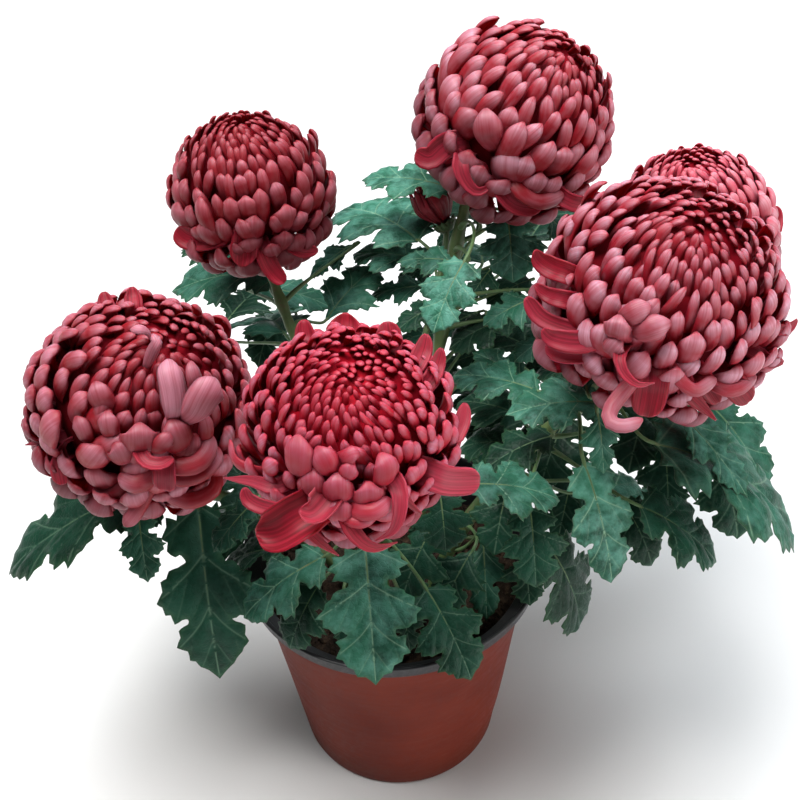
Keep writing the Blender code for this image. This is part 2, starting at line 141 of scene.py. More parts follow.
STEMS = {
    "a": ((-0.026, -0.006), 0.0036, 0.0030, (-0.030, 0.004)),
    "b": ((-0.006, -0.024), 0.0036, 0.0030, (0.000, 0.012)),
    "c": ((0.024, -0.012), 0.0038, 0.0032, (0.020, 0.010)),
    "d": ((0.034, 0.016), 0.0034, 0.0028, (0.030, 0.012)),
    "e": ((0.016, 0.026), 0.0036, 0.0030, (0.008, 0.006)),
    "f": ((-0.018, 0.018), 0.0034, 0.0028, (-0.004, 0.010)),
}
ROOT = 0.012
CUP_R = 0.0125
CUP_H = 0.0090
SEAT = 0.66
BUD = dict(base=((444, 222), 0.792), top=((424, 186), 0.786), r=0.0125)


def bezier(p, t):
    t = np.atleast_1d(t)[:, None]
    return ((1 - t) ** 3) * p[0] + 3 * t * (1 - t) ** 2 * p[1] + 3 * t * t * (1 - t) * p[2] + t ** 3 * p[3]


def bezier_dir(p, t):
    t = np.atleast_1d(t)[:, None]
    d = 3 * (1 - t) ** 2 * (p[1] - p[0]) + 6 * t * (1 - t) * (p[2] - p[1]) + 3 * t * t * (p[3] - p[2])
    return d / np.linalg.norm(d, axis=1)[:, None]


def soil_height(x, y):
    r = np.hypot(x, y)
    return SOIL_Z + 0.004 * (1 - (r / 0.077) ** 2) + 0.0012 * np.sin(90 * x + 1.3) * np.cos(80 * y)


def stem_curve(key):
    """Four control points from the soil's surface to the underside of the florets."""
    if key == "bud":
        top = at_depth(*BUD["base"][0], BUD["base"][1])
        ax = unit(at_depth(*BUD["top"][0], BUD["top"][1]) - top)
        foot, sway = (-0.003, 0.012), (-0.004, 0.008)
        top = top - ax * GAP
        reach = 0.02
    else:
        c, ax, a, b = bloom_frame(key)
        foot, _, _, sway = STEMS[key]
        top = c - ax * (b * SEAT + GAP)
        reach = 0.045
    p0 = np.array([foot[0], foot[1], float(soil_height(*foot))])
    p1 = p0 + np.array([sway[0], sway[1], 0.075])
    p2 = top - ax * reach
    return np.array([p0, p1, p2, top]), ax


# name: stem, place along it 0..1, blade base (u, v, z), blade tip (u, v, z),
#       roll in degrees, width factor, arch, outline
LEAVES = {
    "01": ("a", 0.66, (150, 492, 0.216), (8, 575, 0.165), 0, 0.80, 0.10, 5),
    "02": ("a", 0.60, (138, 512, 0.228), (148, 583, 0.196), 0, 0.80, 0.06, 5),
    "03": ("a", 0.50, (198, 503, 0.208), (220, 680, 0.118), 0, 0.70, 0.12, 5),
    "04": ("a", 0.40, (254, 502, 0.236), (213, 552, 0.218), 0, 1.00, 0.06, 5),
    "05": ("b", 0.48, (325, 556, 0.210), (243, 618, 0.178), 0, 1.00, 0.08, 5),
    "06": ("b", 0.58, (365, 545, 0.216), (376, 686, 0.165), 0, 0.95, 0.10, 5),
    "07": ("b", 0.40, (426, 588, 0.194), (472, 681, 0.160), 0, 1.00, 0.08, 5),
    "08": ("c", 0.14, (483, 536, 0.180), (487, 622, 0.148), 0, 0.70, 0.06, 3),
    "09": ("c", 0.46, (548, 545, 0.222), (580, 630, 0.165), 0, 1.15, 0.08, 5),
    "10": ("c", 0.52, (530, 508, 0.246), (536, 588, 0.212), 0, 1.10, 0.08, 5),
    "11": ("c", 0.66, (584, 462, 0.262), (612, 584, 0.205), 0, 0.72, 0.08, 5),
    "12": ("c", 0.52, (640, 506, 0.234), (717, 562, 0.198), 0, 1.10, 0.08, 5),
    "13": ("c", 0.76, (654, 443, 0.270), (794, 541, 0.195), 0, 0.95, 0.12, 5),
    "14": ("d", 0.60, (706, 400, 0.238), (768, 491, 0.198), 0, 0.95, 0.08, 5),
    "15": ("c", 0.82, (676, 410, 0.276), (748, 497, 0.250), 0, 0.60, 0.06, 3),
    "16": ("c", 0.86, (606, 403, 0.284), (505, 415, 0.280), 0, 1.00, 0.08, 5),
    "17": ("c", 0.84, (588, 394, 0.302), (574, 347, 0.304), 0, 1.00, 0.06, 3),
    "18": ("c", 0.80, (597, 410, 0.292), (604, 474, 0.264), 0, 0.80, 0.06, 3),
    "19": ("c", 0.68, (538, 391, 0.268), (451, 376, 0.262), 0, 0.95, 0.08, 5),
    "20": ("d", 0.44, (530, 386, 0.250), (472, 352, 0.256), 0, 1.00, 0.06, 3),
    "21": ("b", 0.74, (470, 484, 0.270), (561, 500, 0.254), 0, 1.10, 0.08, 5),
    "22": ("b", 0.52, (440, 494, 0.236), (446, 552, 0.212), 0, 1.35, 0.08, 5),
    "23": ("e", 0.76, (465, 260, 0.334), (433, 334, 0.308), 0, 1.15, 0.08, 5),
    "24": ("e", 0.82, (508, 218, 0.318), (513, 283, 0.294), 0, 1.40, 0.08, 5),
    "25": ("e", 0.66, (419, 240, 0.298), (343, 208, 0.286), 0, 1.15, 0.08, 5),
    "26": ("e", 0.58, (428, 262, 0.280), (352, 254, 0.270), 0, 1.00, 0.06, 5),
    "27": ("e", 0.86, (452, 189, 0.332), (361, 180, 0.327), 0, 0.90, 0.08, 5),
    "28": ("e", 0.58, (538, 297, 0.300), (483, 326, 0.286), 0, 1.20, 0.06, 3),
    "29": ("d", 0.54, (558, 330, 0.276), (514, 362, 0.262), 0, 1.20, 0.06, 3),
    "30": ("e", 0.70, (460, 262, 0.314), (396, 262, 0.308), 0, 1.00, 0.06, 3),
    "31": ("f", 0.66, (326, 320, 0.250), (378, 266, 0.262), 0, 1.10, 0.08, 3),
    "32": ("e", 0.50, (430, 286, 0.258), (370, 296, 0.248), 0, 1.00, 0.06, 3),
    "33": ("f", 0.84, (280, 274, 0.262), (172, 292, 0.245), 0, 1.10, 0.08, 5),
    "34": ("f", 0.72, (258, 288, 0.230), (332, 308, 0.220), 0, 0.95, 0.08, 5),
    "35": ("f", 0.74, (354, 244, 0.280), (309, 278, 0.262), 0, 0.90, 0.06, 3),
    "36": ("f", 0.56, (-0.062, 0.136, 0.216), (-0.088, 0.206, 0.170), 0, 0.95, 0.10, 5),
    "37": ("e", 0.60, (0.066, 0.140, 0.262), (0.070, 0.214, 0.214), 0, 0.95, 0.10, 5),
    "38": ("d", 0.72, (0.176, 0.124, 0.216), (0.206, 0.192, 0.164), 0, 0.95, 0.10, 5),
    "39": ("e", 0.34, (0.042, 0.090, 0.196), (0.058, 0.162, 0.150), 0, 1.00, 0.10, 5),
    "40": ("f", 0.36, (-0.050, 0.080, 0.186), (-0.092, 0.142, 0.142), 0, 1.00, 0.10, 5),
    "41": ("a", 0.48, (-0.112, 0.028, 0.198), (-0.172, 0.078, 0.152), 0, 1.00, 0.10, 5),
    "42": ("d", 0.38, (0.108, 0.072, 0.196), (0.166, 0.126, 0.148), 0, 1.00, 0.10, 5),
    "43": ("c", 0.40, (0.108, 0.002, 0.192), (0.176, 0.014, 0.148), 0, 0.95, 0.10, 5),
}

# how dark each blade is, from 0, pale with waxy bloom and painted sheen, to 1, deep green; partly each leaf's own tone
# and partly painted shade on leaves that sit in shade
SHADE = {"01": 0.90, "02": 0.70, "03": 0.72, "04": 0.70, "05": 0.40, "06": 0.15, "07": 0.75, "08": 0.55, "09": 1.0,
         "10": 0.85, "11": 0.0, "12": 0.60, "13": 0.35, "14": 0.35, "15": 0.0, "16": 0.10, "17": 0.45, "18": 0.40,
         "19": 0.28, "20": 0.60, "21": 0.18, "22": 0.90, "23": 0.0, "24": 0.30, "25": 0.0, "26": 0.15, "27": 0.0,
         "28": 0.45, "29": 0.50, "30": 0.30, "31": 0.20, "32": 0.45, "33": 0.30, "34": 0.30, "35": 0.30}

# leaves deep inside the plant: blade base, blade tip, roll, width factor, arch,
# outline; each leaves the nearest stem
INSIDE = {
    "01": ((276, 312, 0.176), (258, 368, 0.156), 0, 1.10, 0.08, 5),
    "02": ((446, 302, 0.264), (396, 332, 0.254), 0, 1.15, 0.08, 3),
    "03": ((512, 318, 0.262), (448, 350, 0.246), 0, 1.15, 0.08, 5),
    "04": ((536, 352, 0.240), (476, 330, 0.232), 0, 1.10, 0.08, 3),
    "05": ((604, 372, 0.262), (536, 372, 0.246), 0, 1.10, 0.08, 5),
    "06": ((530, 420, 0.236), (458, 402, 0.226), 0, 1.10, 0.08, 5),
    "07": ((538, 446, 0.214), (458, 448, 0.200), 0, 1.10, 0.08, 5),
    "08": ((566, 416, 0.232), (540, 488, 0.206), 0, 1.20, 0.08, 5),
    "09": ((648, 398, 0.262), (628, 474, 0.242), 0, 1.10, 0.08, 5),
    "10": ((664, 440, 0.238), (668, 516, 0.206), 0, 1.10, 0.08, 5),
    "11": ((716, 452, 0.216), (738, 540, 0.177), 0, 1.05, 0.08, 5),
    "12": ((508, 484, 0.216), (494, 556, 0.188), 0, 1.20, 0.08, 5),
    "13": ((622, 500, 0.214), (652, 566, 0.184), 0, 1.10, 0.08, 5),
    "14": ((432, 528, 0.200), (402, 600, 0.168), 0, 1.20, 0.08, 5),
    "15": ((524, 552, 0.178), (530, 606, 0.160), 0, 1.20, 0.08, 3),
    "16": ((474, 548, 0.190), (442, 612, 0.164), 0, 1.15, 0.08, 3),
    "17": ((318, 586, 0.192), (290, 650, 0.160), 0, 1.15, 0.08, 5),
    "18": ((284, 548, 0.190), (222, 566, 0.168), 0, 1.00, 0.08, 5),
    "19": ((176, 488, 0.196), (128, 536, 0.176), 0, 1.05, 0.08, 5),
    "20": ((236, 256, 0.246), (184, 246, 0.236), 0, 1.10, 0.06, 3),
    "21": ((544, 214, 0.306), (576, 246, 0.290), 0, 1.20, 0.06, 3),
    "22": ((702, 402, 0.258), (650, 424, 0.246), 0, 1.10, 0.06, 3),
    "23": ((402, 604, 0.182), (410, 652, 0.160), 0, 1.10, 0.06, 3),
    "24": ((492, 268, 0.286), (470, 300, 0.276), 0, 1.20, 0.06, 3),
    "26": ((592, 344, 0.238), (562, 408, 0.218), 0, 1.15, 0.06, 5),
    "27": ((440, 230, 0.276), (392, 206, 0.272), 0, 1.10, 0.06, 3),
    "28": ((344, 592, 0.182), (350, 650, 0.158), 0, 1.10, 0.06, 3),
    "29": ((226, 322, 0.204), (262, 288, 0.198), 0, 1.10, 0.06, 3),
    "30": ((530, 280, 0.272), (486, 304, 0.264), 0, 1.20, 0.06, 5),
    "31": ((486, 352, 0.220), (436, 372, 0.210), 0, 1.15, 0.06, 3),
    "32": ((572, 478, 0.178), (558, 540, 0.156), 0, 1.20, 0.06, 5),
    "33": ((440, 262, 0.252), (396, 284, 0.240), 0, 1.15, 0.06, 3),
    "36": ((0.020, 0.066, 0.214), (0.012, 0.140, 0.176), 0, 1.05, 0.10, 5),
    "38": ((0.082, 0.090, 0.228), (0.120, 0.160, 0.196), 0, 1.05, 0.10, 5),
    "39": ((-0.018, 0.052, 0.176), (-0.034, 0.116, 0.146), 0, 1.05, 0.10, 5),
    "40": ((0.060, 0.040, 0.172), (0.106, 0.092, 0.142), 0, 1.05, 0.10, 5),
    "41": ((-0.060, 0.008, 0.180), (-0.122, 0.020, 0.146), 0, 1.05, 0.10, 5),
    "42": ((552, 436, 0.254), (484, 470, 0.242), 0, 1.10, 0.08, 5),
    "43": ((524, 248, 0.266), (562, 202, 0.260), 0, 1.15, 0.06, 3),
    "45": ((270, 516, 0.212), (229, 464, 0.218), 0, 1.20, 0.06, 3),
    "46": ((456, 332, 0.223), (398, 342, 0.213), 0, 1.15, 0.06, 3),
    "47": ((500, 398, 0.206), (450, 406, 0.198), 0, 1.15, 0.06, 3),
    "48": ((520, 424, 0.178), (462, 436, 0.168), 0, 1.15, 0.06, 3),
    "49": ((582, 366, 0.216), (520, 370, 0.207), 0, 1.10, 0.06, 3),
    "44": ((480, 224, 0.298), (446, 190, 0.294), 0, 1.10, 0.06, 3),
    "34": ((478, 312, 0.234), (436, 336, 0.224), 0, 1.15, 0.06, 3),
    "35": ((470, 224, 0.284), (436, 246, 0.272), 0, 1.15, 0.06, 3),
}


def nearest_stem(p):
    """The stem, and the place along it, from which a stalk reaches a blade's base."""
    best = None
    t = np.linspace(0.12, 0.88, 60)
    for key in STEMS:
        q = bezier(stem_curve(key)[0], t)
        d = np.linalg.norm(p - q, axis=1) + 0.6 * np.maximum(q[:, 2] - p[2] + 0.006, 0)
        i = int(d.argmin())
        if best is None or d[i] < best[0]:
            best = (d[i], key, float(t[i]))
    return best[1:]


FILL = {k: (*nearest_stem(place(v[0])), *v) for k, v in INSIDE.items()}


class Leaf:
    """The curved sheet of one leaf. s runs from 0 at the blade's base to 1 at its
    tip; x is the distance across, in metres."""

    def __init__(self, row):
        stem, t, base, tip, roll, wide, arch, kind = row
        self.wide, self.kind, self.arch = wide, kind, arch
        self.p0, self.p1 = place(base), place(tip)
        c = self.p1 - self.p0
        self.length = float(np.linalg.norm(c))
        c = c / self.length
        up = np.array([0.0, 0.0, 1.0])
        side = np.cross(c, up)
        if np.linalg.norm(side) < 0.2:
            side = np.array([1.0, 0.0, 0.0])
        side = unit(side - c * (side @ c))
        side = turn(c, math.radians(roll)) @ side
        self.c, self.side, self.nrm = c, side, np.cross(side, c)
        pts, ax = stem_curve(stem)
        p = bezier(pts, t)[0]
        d = bezier_dir(pts, t)[0]
        out = self.p0 - p
        gap = float(np.linalg.norm(out))
        out = out / gap
        flat = out - d * float(out @ d)
        flat = unit(flat) if np.linalg.norm(flat) > 1e-6 else np.array([1.0, 0, 0])
        root = p + flat * (0.0036 + GAP + 0.0002)
        start = unit(flat * 0.9 + d * 0.5)
        slope = unit(c + self.nrm * 4 * arch)
        reach = float(np.linalg.norm(self.p0 - root))
        self.stalk = np.array([root, root + start * reach * 0.33, self.p0 - slope * reach * 0.33, self.p0])
        self.stalk_len = reach
        self.flat = flat

    def sheet(self, s, x, lift):
        """Points of the blade for arrays of s, x and lift."""
        s, x, lift = np.broadcast_arrays(np.asarray(s, float), np.asarray(x, float), np.asarray(lift, float))
        mid = self.p0 + self.c * (s * self.length)[..., None] + self.nrm * (self.arch * self.length * 4 * s * (1 - s))[..., None]
        tan = unit(self.c + self.nrm * (self.arch * 4 * (1 - 2 * s))[..., None])
        nrm = np.cross(self.side, tan)
        a = np.abs(x) / self.length
        rise = self.length * (0.16 * a - 0.55 * a * a)
        return mid + self.side * x[..., None] + nrm * (rise + lift)[..., None]


# ----------------------------------------------------------------- materials
def lin(rgb):
    out = []
    for c in rgb:
        c = c / 255
        out.append(c / 12.92 if c <= 0.04045 else ((c + 0.055) / 1.055) ** 2.4)
    return (*out, 1.0)


class Mat:
    """A node material and a few short ways to add nodes to it."""

    def __init__(self, name, rough=0.5, spec=0.5):
        self.m = bpy.data.materials.new(name)
        self.m.use_nodes = True
        self.t = self.m.node_tree
        self.b = self.t.nodes["Principled BSDF"]
        self.b.inputs["Roughness"].default_value = rough
        self.b.inputs["Specular IOR Level"].default_value = spec

    def glow(self, weight, scale):
        """Light that soaks through thin tissue."""
        self.b.inputs["Subsurface Weight"].default_value = weight
        self.b.inputs["Subsurface Scale"].default_value = scale
        self.b.inputs["Subsurface Radius"].default_value = (1.0, 0.12, 0.16)

    def node(self, kind, **kw):
        n = self.t.nodes.new(kind)
        for k, v in kw.items():
            setattr(n, k, v)
        return n

    def link(self, a, b):
        self.t.links.new(a, b)

    def coords(self):
        return self.node("ShaderNodeTexCoord").outputs["Object"]

    def uv(self, name):
        s = self.node("ShaderNodeSeparateXYZ")
        self.link(self.node("ShaderNodeUVMap", uv_map=name).outputs[0], s.inputs[0])
        return s.outputs[0], s.outputs[1]

    def attr(self, name):
        return self.node("ShaderNodeAttribute", attribute_name=name)

    def split(self, name):
        s = self.node("ShaderNodeSeparateColor")
        self.link(self.attr(name).outputs["Color"], s.inputs[0])
        return s.outputs

    def math(self, op, a, b=None, c=None, clamp=False):
        n = self.node("ShaderNodeMath", operation=op, use_clamp=clamp)
        for i, v in enumerate((a, b, c)):
            if v is None:
                continue
            if isinstance(v, (int, float)):
                n.inputs[i].default_value = v
            else:
                self.link(v, n.inputs[i])
        return n.outputs[0]

    def mix(self, fac, a, b, blend="MIX"):
        n = self.node("ShaderNodeMix", data_type="RGBA", blend_type=blend)
        for i, v in ((0, fac), (6, a), (7, b)):
            if isinstance(v, (int, float, tuple)):
                n.inputs[i].default_value = v
            else:
                self.link(v, n.inputs[i])
        return n.outputs[2]

    def ramp(self, fac, stops, interp="LINEAR"):
        n = self.node("ShaderNodeValToRGB")
        n.color_ramp.interpolation = interp
        el = n.color_ramp.elements
        while len(el) < len(stops):
            el.new(0.5)
        for e, (p, c) in zip(el, stops):
            e.position = p
            e.color = c if len(c) == 4 else (*c, 1.0)
        self.link(fac, n.inputs[0])
        return n.outputs[0]

    def remap(self, v, a, b, c, d):
        n = self.node("ShaderNodeMapRange")
        self.link(v, n.inputs[0])
        for i, k in enumerate((a, b, c, d)):
            n.inputs[i + 1].default_value = k
        return n.outputs[0]

    def noise(self, scale, detail=2.0, rough=0.5, vec=None, distortion=0.0):
        n = self.node("ShaderNodeTexNoise")
        n.inputs["Scale"].default_value = scale
        n.inputs["Detail"].default_value = detail
        n.inputs["Roughness"].default_value = rough
        n.inputs["Distortion"].default_value = distortion
        self.link(vec if vec is not None else self.coords(), n.inputs["Vector"])
        return n.outputs[0]

    def voronoi(self, scale, feature="F1", vec=None):
        n = self.node("ShaderNodeTexVoronoi", feature=feature)
        n.inputs["Scale"].default_value = scale
        self.link(vec if vec is not None else self.coords(), n.inputs["Vector"])
        return n

    def vec(self, x, y, z):
        n = self.node("ShaderNodeCombineXYZ")
        for i, v in enumerate((x, y, z)):
            if isinstance(v, (int, float)):
                n.inputs[i].default_value = v
            else:
                self.link(v, n.inputs[i])
        return n.outputs[0]

    def bump(self, height, strength=0.3, dist=0.0005):
        n = self.node("ShaderNodeBump")
        n.inputs["Strength"].default_value = strength
        n.inputs["Distance"].default_value = dist
        self.link(height, n.inputs["Height"])
        self.link(n.outputs[0], self.b.inputs["Normal"])

    def colour(self, c):
        self.link(c, self.b.inputs["Base Color"])

    def rough(self, c):
        self.link(c, self.b.inputs["Roughness"])


def petal_outer(name, base, mid, light, dark, pale=0.0):
    """The outer face of a floret: paler toward the tip, partly its own dusty pink and partly a painted highlight;
    darker at the foot, painted shade where the neighbours cover it; deeper at the edges and the middle crease, with
    fine streaks along it."""
    k = Mat(name, 0.46, 0.30)
    k.glow(0.30, 0.0035)
    across, along = k.uv("Petal")
    tone = k.split("Tone")
    rnd, lat, run = tone[0], tone[1], tone[2]
    extra = k.remap(rnd, 1.0, 2.0, 0.0, 1.0)
    v = k.math("ABSOLUTE", k.math("MULTIPLY_ADD", across, 2.0, -1.0))
    mid_v = k.math("ABSOLUTE", k.math("MULTIPLY_ADD", run, 2.0, -1.0))
    # painted shade and highlight: the dark stop at the foot stands in for the shade under the neighbours, the light
    # stop near the tip is partly pale tip and partly painted highlight
    body = k.ramp(along, [(0.0, dark), (0.42, base), (0.70, mid), (0.90, light), (1.0, mid)])
    # streaks that run along the floret
    streak = k.noise(1.0, 3.0, 0.6, k.vec(k.math("MULTIPLY", run, 17.0), k.math("MULTIPLY", along, 1.1), k.math("MULTIPLY", rnd, 97.0)))
    body = k.mix(k.remap(streak, 0.36, 0.70, 0.0, 0.50), body, base)
    blotch = k.noise(1.0, 2.0, 0.5, k.vec(k.math("MULTIPLY", run, 2.6), k.math("MULTIPLY", along, 3.1), k.math("MULTIPLY", rnd, 51.0)))
    body = k.mix(k.remap(blotch, 0.44, 0.68, 0.0, 0.30), body, light)
    # crease in the middle and deeper edges
    crease = k.remap(mid_v, 0.0, 0.13, 0.30, 0.0)
    body = k.mix(crease, body, base)
    edge = k.remap(v, 0.58, 1.0, 0.0, 0.80)
    body = k.mix(edge, body, base)
    # each floret a little lighter or darker, the crown redder
    body = k.mix(k.remap(rnd, 0.0, 1.0, 0.0, 0.38), body, base)
    body = k.mix(k.remap(lat, 0.0, 0.42, 0.66, 0.0), body, base)
    warm = k.math("FRACT", k.math("MULTIPLY", rnd, 7.13))
    body = k.mix(k.math("MULTIPLY", warm, 0.26), body, lin((160, 30, 34)))
    # painted shade: the lower florets under the ball turn darker and duller, together with their own duller colour
    body = k.mix(k.remap(lat, 0.56, 0.92, 0.0, 0.70), body, lin((94, 18, 31)))
    # pale florets lean toward the light colour, pale tip and painted highlight together
    stripe = k.remap(streak, 0.38, 0.66, 1.0, 0.45)
    body = k.mix(k.math("MULTIPLY", extra, stripe), body, light)
    k.colour(body)
    h = k.noise(1.0, 2.0, 0.55, k.vec(k.math("MULTIPLY", run, 26.0), k.math("MULTIPLY", along, 1.0), k.math("MULTIPLY", rnd, 13.0)))
    k.bump(k.math("ADD", h, k.remap(mid_v, 0.0, 0.14, -0.4, 0.0)), 0.28, 0.00025)
    k.rough(k.remap(streak, 0.3, 0.7, 0.38, 0.56))
    return k.m


def petal_inner(name, deep, bright, pale):
    k = Mat(name, 0.5, 0.25)
    k.glow(0.30, 0.0035)
    across, along = k.uv("Petal")
    tone = k.split("Tone")
    rnd = tone[0]
    streak = k.noise(1.0, 3.0, 0.6, k.vec(k.math("MULTIPLY", tone[2], 18.0), k.math("MULTIPLY", along, 1.2), k.math("MULTIPLY", rnd, 77.0)))
    body = k.mix(k.remap(streak, 0.35, 0.68, 0.0, 1.0), deep, bright)
    body = k.mix(k.math("MULTIPLY", k.remap(rnd, 1.0, 2.0, 0.0, 1.0), k.remap(streak, 0.3, 0.6, 0.6, 1.0)), body, pale)
    k.colour(body)
    k.bump(streak, 0.3, 0.00025)
    k.b.inputs["Sheen Weight"].default_value = 0.08
    return k.m


def heart_painted_shade(name, bright, deep):
    """What shows between the feet of the florets: painted shade, dark red in the gaps between the outer florets and a
    brighter red toward the crown.
    """
    k = Mat(name, 0.7, 0.1)
    n = k.noise(260.0, 3.0, 0.6)
    # painted shade: darker toward the outer rows, so the gaps read as shadow
    body = k.mix(k.remap(k.split("Tone")[1], 0.16, 0.58, 0.0, 1.0), bright, deep)
    body = k.mix(k.remap(n, 0.35, 0.65, 0.0, 0.4), body, deep)
    k.colour(body)
    k.bump(n, 0.4, 0.0006)
    return k.m


def leaf_top(name):
    k = Mat(name, 0.44, 0.13)
    a = k.split("Leaf")
    vein, rnd, edge = a[0], a[1], a[2]
    big = k.noise(34.0, 3.0, 0.55)
    fine = k.noise(420.0, 3.0, 0.6)
    body = k.mix(k.remap(big, 0.38, 0.64, 0.0, 1.0), lin((13, 46, 32)), lin((44, 104, 80)))
    # pale blue-green patches: partly the leaf's waxy bloom, partly a painted sheen standing in for sky reflection; less
    # on darker blades
    wax_and_sheen = k.noise(90.0, 4.0, 0.62)
    body = k.mix(k.math("MULTIPLY", k.remap(wax_and_sheen, 0.42, 0.64, 0.06, 0.66), k.remap(rnd, 0.0, 0.8, 1.0, 0.12)), body, lin((108, 170, 152)))
    body = k.mix(k.remap(fine, 0.35, 0.70, 0.0, 0.30), body, lin((66, 126, 104)))
    # rnd here holds the blade's shade value; darker blades are partly the leaf's own deep green and partly painted
    # shade on leaves that sit in shade
    body = k.mix(k.remap(rnd, 0.0, 1.0, 0.0, 0.80), body, lin((11, 33, 21)))
    thin = k.math("POWER", vein, 2.1)
    body = k.mix(k.math("MULTIPLY", thin, k.remap(rnd, 0.0, 1.0, 0.80, 0.26)), body, lin((142, 178, 148)))
    body = k.mix(k.math("MULTIPLY", edge, 0.34), body, lin((66, 104, 66)))
    k.colour(body)
    net = k.voronoi(330.0, "DISTANCE_TO_EDGE").outputs[0]
    k.bump(k.math("ADD", k.remap(net, 0.0, 0.12, 0.0, 1.0), k.math("MULTIPLY", fine, 0.6)), 0.40, 0.0004)
    k.rough(k.remap(fine, 0.3, 0.7, 0.36, 0.50))
    return k.m


def leaf_under(name):
    k = Mat(name, 0.72, 0.3)
    a = k.split("Leaf")
    vein, rnd = a[0], a[1]
    big = k.noise(40.0, 3.0, 0.55)
    body = k.mix(k.remap(big, 0.35, 0.66, 0.0, 1.0), lin((50, 80, 58)), lin((70, 102, 76)))
    body = k.mix(k.math("MULTIPLY", vein, 0.6), body, lin((116, 138, 100)))
    # rnd here holds the blade's shade value: darker undersides, partly own tone and partly painted shade
    body = k.mix(k.remap(rnd, 0.0, 1.0, 0.0, 0.7), body, lin((20, 40, 26)))
    k.colour(body)
    k.bump(k.noise(600.0, 2.0, 0.6), 0.3, 0.0003)
    k.b.inputs["Sheen Weight"].default_value = 0.15
    return k.m


def stalk_green(name, a, b, c):
    k = Mat(name, 0.5, 0.4)
    n = k.noise(60.0, 4.0, 0.6)
    m = k.noise(260.0, 3.0, 0.6)
    body = k.mix(k.remap(n, 0.35, 0.68, 0.0, 1.0), a, b)
    body = k.mix(k.remap(m, 0.52, 0.72, 0.0, 0.5), body, c)
    k.colour(body)
    k.bump(m, 0.35, 0.0004)
    return k.m


def soil_mat(name):
    k = Mat(name, 0.95, 0.2)
    n = k.noise(180.0, 6.0, 0.65)
    m = k.noise(900.0, 3.0, 0.6)
    body = k.ramp(n, [(0.30, lin((18, 13, 10))), (0.52, lin((44, 33, 25))), (0.72, lin((78, 62, 47)))])
    body = k.mix(k.remap(m, 0.60, 0.75, 0.0, 0.6), body, lin((112, 94, 74)))
    k.colour(body)
    k.bump(k.math("ADD", n, k.math("MULTIPLY", m, 0.5)), 0.8, 0.0015)
    return k.m


def terracotta_mat(name):
    k = Mat(name, 0.50, 0.12)
    co = k.coords()
    n = k.noise(16.0, 4.0, 0.6)
    m = k.noise(240.0, 3.0, 0.6)
    body = k.mix(k.remap(n, 0.34, 0.68, 0.0, 1.0), lin((92, 28, 16)), lin((112, 40, 25)))
    body = k.mix(k.remap(m, 0.50, 0.75, 0.0, 0.30), body, lin((130, 58, 40)))
    # faint scuffs that run round the wall
    mp = k.node("ShaderNodeMapping")
    mp.inputs["Scale"].default_value = (14.0, 14.0, 240.0)
    k.link(co, mp.inputs[0])
    sc = k.noise(1.0, 5.0, 0.7, mp.outputs[0])
    body = k.mix(k.remap(sc, 0.62, 0.74, 0.0, 0.25), body, lin((146, 88, 72)))
    z = k.node("ShaderNodeSeparateXYZ")
    k.link(co, z.inputs[0])
    low = k.remap(z.outputs[2], 0.0, 0.030, 0.35, 0.0)
    body = k.mix(k.math("MULTIPLY", low, k.remap(n, 0.3, 0.6, 0.3, 1.0)), body, lin((78, 44, 34)))
    k.colour(body)
    k.rough(k.remap(k.math("ADD", k.math("MULTIPLY", m, 0.5), k.math("MULTIPLY", sc, 0.5)), 0.35, 0.65, 0.42, 0.62))
    k.bump(k.math("ADD", k.math("MULTIPLY", m, 0.25), k.math("MULTIPLY", n, 1.0)), 0.25, 0.0008)
    return k.m


def black_mat(name):
    k = Mat(name, 0.42, 0.45)
    co = k.coords()
    m = k.noise(300.0, 4.0, 0.65)
    n = k.noise(30.0, 4.0, 0.6)
    body = k.mix(k.remap(n, 0.35, 0.70, 0.0, 1.0), lin((20, 20, 23)), lin((34, 34, 38)))
    body = k.mix(k.remap(m, 0.56, 0.76, 0.0, 0.45), body, lin((74, 70, 66)))
    k.colour(body)
    k.rough(k.remap(m, 0.3, 0.7, 0.34, 0.58))
    k.bump(m, 0.2, 0.0003)
    return k.m


SETS = {
    # dark foot, painted shade; base; mid; light tip, partly pale and partly a painted highlight
    "a": [(136, 6, 20), (138, 12, 26), (150, 36, 48), (208, 142, 160)],
    "b": [(162, 6, 28), (178, 16, 40), (176, 40, 62), (196, 126, 150)],
    "c": [(146, 8, 24), (150, 16, 34), (164, 50, 68), (230, 178, 198)],
    "d": [(190, 36, 58), (196, 58, 80), (204, 104, 122), (230, 182, 194)],
    "e": [(142, 8, 22), (148, 16, 32), (160, 48, 62), (222, 168, 186)],
    "f": [(126, 8, 18), (130, 12, 26), (142, 34, 46), (196, 122, 136)],
}
OUTER = {k: petal_outer("floret_outer_" + k, lin(v[1]), lin(v[2]), lin(v[3]), lin(v[0])) for k, v in SETS.items()}
INNER = petal_inner("floret_inner", lin((106, 5, 22)), lin((156, 24, 48)), lin((196, 84, 108)))
# the hearts paint the shade in the gaps between the florets; bloom b's is a brighter red
CORE = {"b": heart_painted_shade("floret_heart_bright", lin((180, 10, 34)), lin((106, 5, 18)))}
for k in "acdef":
    CORE[k] = heart_painted_shade("floret_heart_" + k, lin((136, 8, 26)), lin((96, 5, 17)))
# the bud's florets take the same scheme; its last colour is the dark foot, painted shade
BUD_OUT = petal_outer("bud_outer", lin((122, 16, 34)), lin((150, 30, 48)), lin((176, 66, 80)), lin((70, 6, 16)))
TOP = leaf_top("leaf_upper")
UNDER = leaf_under("leaf_under")
STALK = stalk_green("leaf_stalk", lin((70, 100, 62)), lin((96, 124, 80)), lin((116, 110, 78)))
STEM = stalk_green("stem_green", lin((66, 90, 52)), lin((92, 112, 66)), lin((104, 82, 66)))
BRACT = stalk_green("bract_green", lin((52, 78, 46)), lin((78, 102, 62)), lin((96, 82, 58)))
SOIL = soil_mat("potting_soil")
CLAY = terracotta_mat("terracotta_plastic")
BLACK = black_mat("black_plastic")


